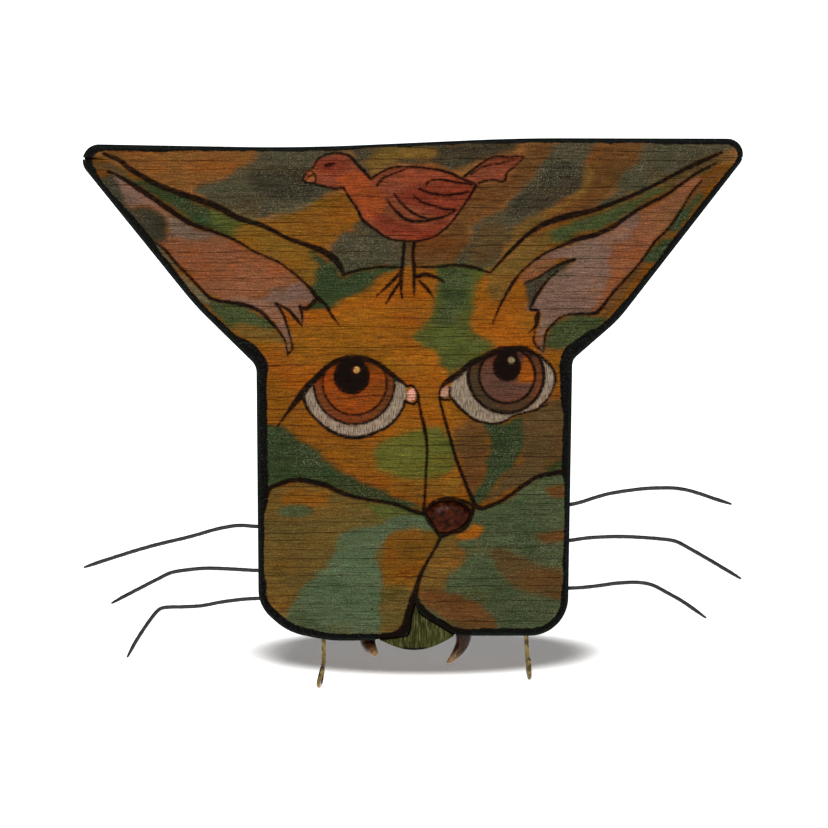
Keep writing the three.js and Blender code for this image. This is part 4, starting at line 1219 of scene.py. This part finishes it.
def paint_board(obj):
    """Carves the lines a little and stores the drawing on the vertices."""
    co = coordinates(obj)
    flat = co[:, [0, 2]] / MM
    depth = -co[:, 1] / MM
    outline = rounded_outline(HEAD_CORNERS, 0.12)
    front = depth > FRONT - EDGE - 0.05
    ink_and_nose_shade = np.full(len(co), 4.0)
    ink_and_nose_shade[front] = ink_and_nose_shade_distance(flat[front])
    edge = -distance_to_loop(flat, outline, 3.0)
    mouth = distance_to_loop(flat, np.array([*MOUTH, (21.0, -214), (-18.0, -214)]), 8.0)
    edge = np.minimum(edge, np.where(flat[:, 1] < -184, np.maximum(mouth, 0) + 0.8, 99))
    rim = np.where(front, edge - border_width(flat), -3.0)
    wobble = 0.35 * noise(flat, (9, 9), 11) + 0.2 * noise(flat, (3, 3), 12)
    rim = rim + np.where(front, wobble, 0)

    colour = np.tile(linear("#6a3d08"), (len(co), 1))
    # Painted pool of light: the ground stain is lighter in the middle of the face and darker towards its edges.
    painted_light_pool = ease(np.hypot((flat[:, 0] + 2) / 85, (flat[:, 1] + 74) / 70), 0.3, 1.5)[:, None]
    colour = colour * (1.17 - 0.54 * painted_light_pool) * (1 + 0.16 * noise(flat, (26, 9), 21)[:, None])
    for i, (_, stain, soft, points) in enumerate(PATCHES):
        loop = spline(points, closed=True, step=1.5)
        gap = distance_to_loop(flat, loop, 8.0)
        bleed = 0.7 * noise(flat, (9, 3.2), 40 + i) + 0.45 * noise(flat, (4, 1.4), 90 + i)
        fade = 0.7 * soft + 0.5
        share = ease(-(gap + min(soft, 1.6) * bleed), -fade, fade)[:, None]
        shade = linear(STAINS[stain]) * (1 + 0.16 * noise(flat, (19, 7), 140 + i)[:, None])
        colour = colour * (1 - share) + shade * share
    # The share of painted sheen flecks: more on the greener and bluer stains, little inside the eyes.
    painted_sheen_share = 0.1 + 0.36 * ease(colour[:, 2] / colour[:, 0], 0.1, 0.5)
    white = np.zeros(len(co))
    for side, eye in EYES.items():
        opening = distance_to_loop(flat, spline(eye["opening"], closed=True))
        inside = ease(-opening, -0.2, 0.4)[:, None]
        x, z, radius, _ = eye["iris"]
        iris = np.hypot(*(flat - (x, z)).T) - radius
        x, z, radius, _ = eye["ring"]
        ring = np.hypot(*(flat - (x, z)).T) - radius
        cornea, band, inner = (
            ("#6d5849", "#522911", "#682f08") if side == "left" else ("#665646", "#342517", "#482c22")
        )
        eye_colour = np.tile(linear(cornea), (len(co), 1))
        iris_share = ease(-iris, -0.2, 0.3)[:, None]
        band_colour = np.tile(linear(band), (len(co), 1))
        if side == "right":
            turn = ease(flat[:, 0], x + radius * 0.75, x + radius * 1.1)[:, None]
            band_colour = band_colour * (1 - turn) + linear("#512b17") * turn
        eye_colour = eye_colour * (1 - iris_share) + band_colour * iris_share
        ring_share = ease(-ring, -0.2, 0.3)[:, None]
        inner_colour = np.tile(linear(inner), (len(co), 1))
        if side == "right":
            wedge = ease(flat[:, 0] - 0.28 * (flat[:, 1] - z), x + 4.6, x + 5.8) * ease(flat[:, 1], z - 4.5, z - 2.5)
            inner_colour = inner_colour * (1 - wedge[:, None]) + linear("#763909") * wedge[:, None]
        eye_colour = eye_colour * (1 - ring_share) + inner_colour * ring_share
        x, z, radius, _ = eye["iris"]
        # Painted shade: each iris is darker towards its top, as in the shadow of the upper lid, and a little lighter
        # below.
        shade = 1.12 - 0.62 * ease(flat[:, 1], z - 0.2 * radius, z + radius) * ease(-iris, -0.2, 0.3)
        eye_colour = eye_colour * shade[:, None]
        x, z, radius = eye["glint"]
        glint = ease(radius - np.hypot(*(flat - (x, z)).T), -0.1, 0.3)[:, None]
        eye_colour = eye_colour * (1 - glint) + linear("#957242" if side == "left" else "#62604b") * glint
        colour = colour * (1 - inside) + eye_colour * inside
        white = np.maximum(white, ease(-opening, -0.2, 0.4) * ease(iris, -0.2, 0.3))
        painted_sheen_share = np.where(opening < 0, 0.08, painted_sheen_share)
    for x, z, across, up, paint in ((-0.6, -87.8, 2.0, 3.2, "#bd8170"), (14.6, -86.5, 2.3, 2.9, "#8f6a56")):
        turned = (flat - (x, z)) @ np.array([[0.94, 0.34], [-0.34, 0.94]])
        duct = ease(1 - np.hypot(turned[:, 0] / across, turned[:, 1] / up), -0.08, 0.1)[:, None]
        colour = colour * (1 - duct) + linear(paint) * duct

    bare = np.where(depth < BACK + 0.3, 1.0, 0.0)
    attribute(obj, "ink_and_nose_shade", ink_and_nose_shade)
    attribute(obj, "rim", rim)
    attribute(obj, "edge", np.where(front, edge, 0.0))
    attribute(obj, "painted_sheen_share", painted_sheen_share)
    attribute(obj, "white", white)
    attribute(obj, "bare", bare)
    attribute(obj, "stain", np.hstack([np.clip(colour, 0, 1), np.ones((len(co), 1))]), "FLOAT_COLOR")

    face = depth > FRONT - 0.05
    groove = 0.28 * ease(-ink_and_nose_shade, -0.45, 0.25)
    round_over = np.clip(1.1 - np.maximum(mouth, 0), 0, 1.1)
    fillet = 1.1 - np.sqrt(np.maximum(1.21 - round_over**2, 0))
    hollow = 0.12 * noise(flat, (40, 22), 71) - 0.12
    co[:, 1] += np.where(face, (groove + np.where(flat[:, 1] < -150, fillet, 0) - hollow) * MM, 0)
    move_vertices(obj, co)


# ---- Small pieces ----


def wire_path(points, y=MIDDLE, root=WHISKER_ROOT):
    x, z = points[0]
    start = (x - math.copysign(root, x), z)
    line = spline([start, *points], step=1.1)
    return np.stack([line[:, 0], np.full(len(line), -y), line[:, 1]], 1)


def whisker(name, points, seed):
    rng = np.random.default_rng(seed)
    dents = rng.uniform(-1, 1, (400, 14))

    def radius(s, a, length):
        taper = np.clip((length - s) / 6.0, 0, 1) ** 0.6
        rows = (s / 1.1).astype(int) % 400
        columns = (a / (2 * math.pi) * 14).astype(int) % 14
        return (WIRE * 0.93) * (0.45 + 0.55 * taper) * (1 + 0.06 * dents[rows, columns])

    return tube(name + "_wire", wire_path(points), radius, 14)


def fang(name, x, z, across, down, forward, tip_radius):
    root = np.array((0, 0, 0.0))
    a = np.array((0, 0, -0.6))
    lean = np.array((across, -forward, 0.0))
    b = np.array((0, 0, -0.4 * down))
    c = np.array((0, 0, -0.7 * down)) + 0.4 * lean
    d = np.array((0, 0, -down)) + lean
    t = np.linspace(0, 1, 40)[:, None]
    bezier = (1 - t) ** 3 * a + 3 * (1 - t) ** 2 * t * b + 3 * (1 - t) * t**2 * c + t**3 * d
    peg = np.linspace((0, 0, FANG_PEG - 0.3), root, 12)
    path = np.vstack([peg, bezier]) + (x, -MIDDLE, z)
    rng = np.random.default_rng(int(abs(x) * 10))
    ripple = rng.uniform(0, 2 * math.pi, 6)

    def radius(s, angle, length):
        free = np.clip((s - FANG_PEG - 0.3) / (length - FANG_PEG - 0.3), 0, 1)
        grooves = sum(np.cos(angle * (k + 5) + ripple[k]) for k in range(6)) * 0.007
        tip = np.clip((length - s) / (1.2 * tip_radius), 0, 1)
        rounded = 0.2 + 0.8 * np.sqrt(1 - (1 - tip) ** 2)
        return (tip_radius + (FANG_RADIUS - 0.05 - tip_radius) * (1 - free) ** 0.66) * (1 + grooves) * rounded

    return tube(name + "_horn", path, radius, 40)


def hook(name, x, z, drop, turn, kink, slope, tuck):
    bottom = -drop + HOOK_WIRE + HOOK_BEND
    angle = math.radians(turn)
    down = [(0, 0, v) for v in np.arange(HOOK_SCREW, bottom, -0.35)]
    bend = [
        (0, -HOOK_BEND * (1 - math.cos(t)), bottom - HOOK_BEND * math.sin(t)) for t in np.linspace(0, math.pi, 30)
    ]
    up = [(0, -2 * HOOK_BEND, bottom + v) for v in np.linspace(0.4, HOOK_LEG, 10)]
    path = np.array(down + bend + up)
    spin = np.array([[math.cos(angle), math.sin(angle), 0], [-math.sin(angle), math.cos(angle), 0], [0, 0, 1]])
    forward = np.clip(-path[:, 1] / (2 * HOOK_BEND), 0, 1)
    up = np.clip((path[:, 2] + drop - HOOK_WIRE) / (HOOK_BEND + HOOK_LEG), 0, 1)
    path[:, 0] += slope * np.minimum(path[:, 2] - kink, 0) + tuck * forward * up
    path = path @ spin + (x, -MIDDLE, z)

    def radius(s, a, length):
        thread = np.clip(1 - np.abs(((s / 1.7 + a / (2 * math.pi)) % 1) - 0.5) * 3.4, 0, 1)
        on_screw = ease(HOOK_SCREW - 1.2 - s, 0, 0.8)
        point = np.clip(s / 2.4, 0, 1)
        end = np.clip((length - s) / 0.9, 0, 1) ** 0.5
        shank = HOOK_WIRE - 0.05
        core = 0.95 + 0.45 * thread
        body = shank * (1 - on_screw) + core * on_screw
        return body * (0.2 + 0.8 * point) * (0.45 + 0.55 * end)

    return tube(name + "_wire", path, radius, 24)


def disc(name, centre, profile, sides=40):
    """A turned body about an axis that stands out of the wall: profile is its radius at each distance from it."""
    angles = np.linspace(0, 2 * math.pi, sides, endpoint=False)
    points = [
        (centre[0] + r * math.cos(t), -y, centre[1] + r * math.sin(t)) for y, r in profile for t in angles
    ]
    rows = len(profile)
    faces = [
        (i * sides + j, i * sides + (j + 1) % sides, (i + 1) * sides + (j + 1) % sides, (i + 1) * sides + j)
        for i in range(rows - 1)
        for j in range(sides)
    ]
    faces += [tuple(range(sides)), tuple((rows - 1) * sides + j for j in range(sides))]
    obj = outward(mesh_object(name, points, faces))
    obj.data.set_sharp_from_angle(angle=math.radians(40))
    return obj


def slab(name, outline, low, high, edge, spacing, seed=5):
    """A closed plate over a clockwise outline with a rounded front edge and an evenly meshed front."""
    steps = 4
    levels = [(edge * (1 - math.sin(math.pi / 2 * k / steps)), high - edge * (1 - math.cos(math.pi / 2 * k / steps)))
              for k in range(steps + 1)]
    levels += [(0, y) for y in np.linspace(high - edge, low, 4)[1:]]
    loops = [(inset(outline, i), y) for i, y in levels]
    n = len(outline)
    points = [(x, -y, z) for loop, y in loops for x, z in loop]
    faces = []
    for k in range(len(loops) - 1):
        a, b = k * n, (k + 1) * n
        faces += [(a + i, a + (i + 1) % n, b + (i + 1) % n, b + i) for i in range(n)]
    faces.append(tuple(range((len(loops) - 1) * n, len(loops) * n)))
    loop = loops[0][0]
    low_corner, high_corner = loop.min(0), loop.max(0)
    x, z = np.meshgrid(
        np.arange(low_corner[0], high_corner[0], spacing), np.arange(low_corner[1], high_corner[1], spacing)
    )
    inner = np.stack([x.ravel(), z.ravel()], 1)
    inner = inner + np.random.default_rng(seed).uniform(-0.2, 0.2, inner.shape) * spacing
    inner = inner[distance_to_loop(inner, loop, 2.0) < -0.4 * spacing]
    coords = [Vector(p) for p in loop] + [Vector(p) for p in inner]
    edges = [(i, (i + 1) % n) for i in range(n)]
    verts, _, tris, origins, _, _ = delaunay_2d_cdt(coords, edges, [], 1, 1e-5)
    index = []
    for place, origin in zip(verts, origins):
        if origin and origin[0] < n:
            index.append(origin[0])
        else:
            index.append(len(points))
            points.append((place.x, -high, place.y))
    faces.extend([tuple(index[i] for i in tri) for tri in tris])
    return outward(mesh_object(name, points, faces))


def clockwise(loop):
    x, z = np.asarray(loop).T
    area = (x * np.roll(z, -1) - np.roll(x, -1) * z).sum()
    return loop[::-1] if area > 0 else loop


def chin():
    low, high = MOUTH_FLOOR + 0.3, MOUTH_FLOOR + 6.7
    outline = [(-15.4, -201.2)]
    peak = MOUTH[5][0]
    for x, z in MOUTH[1:-1]:
        outline.append((x + math.copysign(0.47, peak - x), z - 0.47))
    outline.append((19.0, -199.3))
    t = np.linspace(0, 1, 12)[1:, None]
    for a, b, c, d in (
        ((19.0, -199.3), (12.0, -203.6), (7.0, -205.9), (0.5, -205.9)),
        ((0.5, -205.9), (-6.0, -205.9), (-10.0, -203.6), (-15.4, -201.2)),
    ):
        a, b, c, d = (np.array(p) for p in (a, b, c, d))
        curve = (1 - t) ** 3 * a + 3 * (1 - t) ** 2 * t * b + 3 * (1 - t) * t**2 * c + t**3 * d
        outline += [tuple(p) for p in curve]
    loop = clockwise(resample(np.array(outline[:-1]), 0.45))
    obj = slab("chin_piece", inset(loop, 0.02), low, high - 0.02, 0.45, 0.7)
    co = coordinates(obj)
    flat = co[:, [0, 2]] / MM
    front = -co[:, 1] / MM > high - 0.1
    stroke = 0.1 * noise(flat, (0.9, 6.0), 51) + 0.06 * noise(flat, (0.5, 9.0), 52)
    co[:, 1] += np.where(front, (0.16 - stroke) * MM, 0)
    move_vertices(obj, co)
    attribute(obj, "low", flat[:, 1] + 205.9)
    return obj


def nose():
    loop = clockwise(resample(spline(NOSE, closed=True, step=0.5)[:, :2], 0.45))
    loop = inset(loop, 0.35)
    obj = slab("nose_button", loop, NOSE_FLOOR + 0.3, NOSE_FLOOR + 1.5, 0.3, 0.5, 9)
    co = coordinates(obj)
    flat = co[:, [0, 2]] / MM
    depth = -distance_to_loop(flat, loop, 0.1)
    face = -co[:, 1] / MM > NOSE_FLOOR + 1.1
    share = np.clip(depth / 5.6, 0, 1)
    dome = 2.25 * np.sqrt(1 - (1 - share) ** 2) + 0.1 * noise(flat, (4, 4), 61)
    co[:, 1] -= np.where(face, dome * ease(depth, 0.0, 0.3) * MM, 0)
    move_vertices(obj, co)
    return obj


def ring():
    """The hanging ring: a closed loop of wire with a straight bar in the strap's fold."""
    bar, half, corner, wire, y = -13.6, 8.0, 3.0, 0.9, 2.05
    right = [(x, bar) for x in np.linspace(0, half - corner, 6)]
    t = np.linspace(0, 1, 9)[1:]
    for u in t:
        right.append(((1 - u**2) * (half - corner) + (2 * u - u**2) * corner * 0 + u**2 * half + 2 * u * (1 - u) * 0, 0))
    right = [(x, bar) for x in np.linspace(0, half - corner, 6)]
    a, b, c = np.array((half - corner, bar)), np.array((half, bar)), np.array((half, bar + corner))
    right += [tuple((1 - u) ** 2 * a + 2 * u * (1 - u) * b + u * u * c) for u in t]
    a, b, c, d = c, np.array((half, wire - 3.5)), np.array((half * 0.55, wire)), np.array((0, wire))
    t = np.linspace(0, 1, 26)[1:]
    right += [tuple((1 - u) ** 3 * a + 3 * (1 - u) ** 2 * u * b + 3 * (1 - u) * u * u * c + u**3 * d) for u in t]
    left = [(-x, z) for x, z in right[-2:0:-1]]
    loop = np.array(right + left)
    lean = math.radians(3)
    path = np.stack(
        [loop[:, 0], -(y + (loop[:, 1] - bar) * math.sin(lean)), bar + (loop[:, 1] - bar) * math.cos(lean)], 1
    )
    sides = 16
    tangents = np.roll(path, -1, 0) - np.roll(path, 1, 0)
    tangents /= np.linalg.norm(tangents, axis=1)[:, None]
    plane = np.array((0, -math.cos(lean), -math.sin(lean)))
    outwards = np.cross(tangents, plane)
    points, faces = [], []
    for centre, out in zip(path, outwards):
        for angle in np.linspace(0, 2 * math.pi, sides, endpoint=False):
            points.append(centre + (wire - 0.02) * (math.cos(angle) * out + math.sin(angle) * plane))
    n = len(path)
    for i in range(n):
        for j in range(sides):
            a, b = i * sides, (i + 1) % n * sides
            faces.append((a + j, a + (j + 1) % sides, b + (j + 1) % sides, b + j))
    return outward(mesh_object("ring_wire", points, faces))


def strap_screw(name, z):
    """A pan-head screw with a cross recess, its head towards the wall."""
    seat = 4.0 - 0.05 - 0.8 - 1.7 - 0.05
    profile = [(seat + y, r) for y, r in (
        (0.02, 0.4), (0.05, 0.9), (0.16, 1.5), (0.38, 2.05), (0.75, 2.43), (1.2, 2.63), (1.6, 2.67), (1.68, 2.6),
        (1.7, 1.27), (10.2, 1.25), (12.68, 0.15),
    )]
    obj = disc(name + "_turned", (0, z), profile)
    slots = []
    for across, up in ((3.4, 0.8), (0.8, 3.4)):
        loop = [(-across / 2, z - up / 2), (-across / 2, z + up / 2), (across / 2, z + up / 2), (across / 2, z - up / 2)]
        slots.append(prism(loop, seat - 1, seat + 0.8 + (0.05 if across > up else 0.0)))
    cut(obj, slots)
    obj.data.set_sharp_from_angle(angle=math.radians(35))
    return obj


def bumper(name, x, z):
    """A moulded rubber foot, a little wider at the board, with a shallow dish in the face that meets the wall."""
    profile = [
        (0.5, 0.4), (0.48, 2.0), (0.3, 3.0), (0.06, 3.6), (0.0, 4.0), (0.02, 4.7), (0.16, 5.1), (0.45, 5.35),
        (1.4, 5.6), (2.6, 5.75), (3.3, 5.9), (3.6, 5.97), (3.85, 5.93), (3.93, 5.8),
    ]
    return disc(name + "_foot", (x, z), profile, 64)


# ---- Materials of the small pieces ----


def chin_material():
    n = Nodes("chin_paint")
    stroke = n.noise((1.5, 0.6, 0.09), 3.0, 0.6)
    fine = n.noise((4.5, 1.0, 0.22), 2.0, 0.5)
    colour = n.mix(n.step(stroke, 0.3, 0.7), "#1a1b0a", "#393917")
    colour = n.mix(n.math("MULTIPLY", n.step(fine, 0.56, 0.66), 0.6), colour, "#77764c")
    colour = n.mix(n.math("MULTIPLY", n.step(fine, 0.42, 0.32), 0.6), colour, "#15140b")
    rim = n.math("ADD", n.attribute("low"), n.remap(fine, 0.3, 0.7, -0.4, 0.4))
    colour = n.mix(n.step(rim, 1.7, 0.7), colour, "#0c0a06")
    height = n.math("ADD", n.math("MULTIPLY", stroke, 0.6), n.math("MULTIPLY", fine, 0.4))
    return n.finish(colour, n.remap(fine, 0.3, 0.7, 0.5, 0.7), height, 0.25, Specular_IOR_Level=0.02)


def nose_material():
    n = Nodes("nose_lacquer")
    cloud = n.noise((0.28, 0.28, 0.34), 4.0, 0.62, 0.6)
    spot = n.noise((0.75, 0.75, 0.9), 2.0, 0.5)
    colour = n.mix(n.step(cloud, 0.34, 0.58), "#130501", "#341307")
    colour = n.mix(n.math("MULTIPLY", n.step(cloud, 0.55, 0.7), 0.6), colour, "#57290b")
    colour = n.mix(n.math("MULTIPLY", n.step(spot, 0.6, 0.68), 0.85), colour, "#0e0503")
    height = n.math("ADD", n.math("MULTIPLY", cloud, 0.7), n.math("MULTIPLY", spot, 0.3))
    return n.finish(colour, n.remap(spot, 0.3, 0.7, 0.2, 0.34), height, 0.3, Specular_IOR_Level=0.035)


def wire_material():
    n = Nodes("black_wire")
    scale = n.noise((1.0, 1.6, 1.6), 3.0, 0.65)
    pit = n.noise((3.2, 4.0, 4.0), 2.0, 0.6)
    colour = n.mix(n.step(scale, 0.35, 0.65), "#100f0e", "#2b2a28")
    colour = n.mix(n.math("MULTIPLY", n.step(pit, 0.62, 0.72), 0.7), colour, "#6f6a60")
    colour = n.mix(n.math("MULTIPLY", n.step(scale, 0.66, 0.76), 0.5), colour, "#4a3424")
    height = n.math("ADD", n.math("MULTIPLY", scale, 0.6), n.math("MULTIPLY", pit, 0.4))
    return n.finish(colour, n.remap(pit, 0.3, 0.7, 0.36, 0.62), height, 0.16, Metallic=0.55)


def horn_material():
    n = Nodes("horn")
    streak = n.noise((1.6, 1.6, 0.35), 3.0, 0.6, 0.4)
    fine = n.noise((4.0, 4.0, 1.0), 2.0, 0.5)
    tip = n.attribute("tip")
    colour = n.mix(n.step(streak, 0.35, 0.68), "#190c05", "#3a1f0e")
    colour = n.mix(n.math("MULTIPLY", n.step(tip, 0.5, 1.0), 0.75), colour, "#7a5936")
    # Painted highlights: near-white flecks towards the tip stand in for light glinting on the polished horn.
    painted_tip_glints = n.math("MULTIPLY", n.step(fine, 0.58, 0.64), n.step(tip, 0.55, 0.8))
    colour = n.mix(n.math("MULTIPLY", painted_tip_glints, 0.7), colour, "#c8b48c")
    colour = n.mix(n.math("MULTIPLY", n.step(fine, 0.62, 0.7), 0.5), colour, "#0f0805")
    height = n.math("ADD", n.math("MULTIPLY", streak, 0.7), n.math("MULTIPLY", fine, 0.3))
    return n.finish(colour, n.remap(fine, 0.3, 0.7, 0.2, 0.36), height, 0.16, Specular_IOR_Level=0.16)


def metal_material(name, clean, dull, dirt, rough_low, rough_high, scale=1.0):
    n = Nodes(name)
    cloud = n.noise((0.35 * scale, 0.35 * scale, 0.3 * scale), 4.0, 0.6)
    fine = n.noise((2.4 * scale, 2.4 * scale, 1.2 * scale), 3.0, 0.6)
    colour = n.mix(n.step(cloud, 0.35, 0.62), clean, dull)
    colour = n.mix(n.math("MULTIPLY", n.step(fine, 0.56, 0.7), 0.6), colour, dirt)
    rough = n.math("ADD", n.remap(cloud, 0.3, 0.7, rough_low, rough_high), n.remap(fine, 0.3, 0.7, -0.06, 0.08))
    return n.finish(colour, rough, fine, 0.05, Metallic=1.0)


def rubber_material():
    n = Nodes("rubber")
    grain = n.noise((2.0, 2.0, 2.0), 4.0, 0.65)
    painted_sheen_flecks = n.noise((0.5, 0.5, 0.5), 3.0, 0.6)
    colour = n.mix(n.step(grain, 0.36, 0.66), "#171615", "#272523")
    colour = n.mix(n.math("MULTIPLY", n.step(painted_sheen_flecks, 0.5, 0.72), 0.5), colour, "#4b4842")
    return n.finish(colour, n.remap(painted_sheen_flecks, 0.3, 0.7, 0.55, 0.82), grain, 0.08)


# ---- The assembly ----


def place(obj, node, body, slot, material):
    obj.data.materials.clear()
    obj.data.materials.append(material)
    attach(obj, body)
    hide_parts(node)
    return obj


def build_head():
    plank = board()
    paint_board(plank)
    plank.name = "painted_board"
    plank.data.set_sharp_from_angle(angle=math.radians(50))
    place(plank, "head_board", "head", "painted_wood", painted_board_material())
    place(chin(), "chin", "head", "chin_paint", chin_material())
    place(nose(), "nose", "head", "nose_lacquer", nose_material())
    wire = wire_material()
    for seed, (name, points) in enumerate(WHISKERS.items()):
        place(whisker(name, points, seed + 1), name, "head", "black_wire", wire)
    horn = horn_material()
    for name, (x, z, across, down, forward, tip_radius) in FANGS.items():
        obj = fang(name, x, z, across, down, forward, tip_radius)
        co = coordinates(obj) / MM - (x, -MIDDLE, z)
        reach = np.linalg.norm((across, forward, down))
        attribute(obj, "tip", np.clip(np.linalg.norm(co, axis=1) / reach, 0, 1) * (co[:, 2] < 0))
        place(obj, name, "head", "horn", horn)


def build_hooks():
    brass = metal_material("brass", "#86734a", "#4a3d25", "#201910", 0.14, 0.3)
    bodies = {"hook_left": "left_hook", "hook_right": "right_hook"}
    for name, shape in HOOKS.items():
        place(hook(name, *shape), name, bodies[name], "brass", brass)


def build_hanger():
    zinc = metal_material("zinc", "#b5b3ab", "#8d8b84", "#57554f", 0.28, 0.45)
    place(ring(), "hanger_ring", "ring", "zinc", zinc)
    for name, z in (("hanger_screw_upper", -22.0), ("hanger_screw_lower", -35.0)):
        place(strap_screw(name, z), name, "head", "zinc", zinc)
    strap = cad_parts["hanger_strap"]
    strap.data.materials.clear()
    strap.data.materials.append(zinc)
    bevel = strap.modifiers.new("edges", "BEVEL")
    bevel.width = 0.12 * MM
    bevel.segments = 2
    bevel.limit_method = "ANGLE"
    bevel.angle_limit = math.radians(40)
    rubber = rubber_material()
    for name, x in (("wall_bumper_left", -56), ("wall_bumper_right", 56)):
        place(bumper(name, x, -180), name, "head", "rubber", rubber)


# ---- Floor, light and camera ----


def floor_material():
    n = Nodes("floor")
    grain = n.noise((0.02, 0.02, 0.02), 3.0, 0.5)
    colour = n.mix(grain, "#f4f4f4", "#fbfbfb")
    place = n.node("SeparateXYZ", {"Vector": n.place((1, 1, 1))}).outputs
    # Painted shadow: the floor glows white everywhere except in a soft ellipse behind the head, where it stays grey as
    # a painted shadow under the jaw.
    across = n.math("DIVIDE", n.math("SUBTRACT", place[0], 5.0), 88.0)
    along = n.math("DIVIDE", n.math("SUBTRACT", place[1], 150.0), 112.0)
    reach = n.math("ADD", n.math("MULTIPLY", across, across), n.math("MULTIPLY", along, along))
    lit_beyond_painted_shadow = n.step(reach, 0.62, 1.25)
    glow_beyond_painted_shadow = n.math("ADD", n.math("MULTIPLY", lit_beyond_painted_shadow, 0.99), 0.01)
    return n.finish(colour, 0.9, Specular_IOR_Level=0.1, Emission_Color=(1, 1, 1, 1), Emission_Strength=glow_beyond_painted_shadow)


def floor(level):
    """A white floor that curves up into a backdrop."""
    reach, back, rise, curve = 4.0, 4.0, 4.0, 1.0
    profile = [(-reach, level)]
    for t in np.linspace(0, math.pi / 2, 24):
        profile.append((back - curve + curve * math.sin(t), level + curve * (1 - math.cos(t))))
    profile.append((back, level + rise))
    points = [(x / MM, y / MM, z / MM) for y, z in profile for x in (-reach, reach)]
    faces = [(2 * i, 2 * i + 1, 2 * i + 3, 2 * i + 2) for i in range(len(profile) - 1)]
    obj = mesh_object("floor", points, faces)
    obj.data.materials.append(floor_material())
    return obj


def area_light(name, place_at, aim, size, power, colour=(1, 1, 1)):
    light = bpy.data.lights.new(name, "AREA")
    light.shape = "RECTANGLE"
    light.size, light.size_y = size
    light.energy = power
    light.color = colour
    obj = bpy.data.objects.new(name, light)
    bpy.context.scene.collection.objects.link(obj)
    obj.location = place_at
    obj.rotation_euler = (Vector(aim) - Vector(place_at)).to_track_quat("-Z", "Y").to_euler()


def light_and_camera():
    scene = bpy.context.scene
    world = bpy.data.worlds.new("studio")
    world.use_nodes = True
    background = world.node_tree.nodes["Background"]
    background.inputs["Color"].default_value = (1, 1, 1, 1)
    background.inputs["Strength"].default_value = 0.08
    scene.world = world
    scene.view_settings.view_transform = "Standard"
    area_light("key", (-0.12, -1.5, 0.42), (0, 0, -0.1), (0.16, 0.16), 18)
    area_light("fill", (1.0, -1.2, 0.9), (0, 0, -0.1), (0.7, 0.7), 1.2)

    middle_x, middle_z = 0.46 * MM, -96.6 * MM
    distance, width, tilt = 2.2, 380.9 * MM, math.radians(3.0)
    aim = Vector((middle_x, -FRONT * MM, middle_z))
    camera = bpy.data.cameras.new("camera")
    camera.sensor_width = 36
    camera.lens = 36 * distance / width
    camera.clip_end = 20
    obj = bpy.data.objects.new("camera", camera)
    scene.collection.objects.link(obj)
    obj.location = aim + distance * Vector((0, -math.cos(tilt), math.sin(tilt)))
    obj.rotation_euler = (aim - obj.location).to_track_quat("-Z", "Y").to_euler()
    scene.camera = obj


build_head()
build_hooks()
build_hanger()
floor(cad_bounds[0][2])
light_and_camera()

bpy.context.view_layer.update()
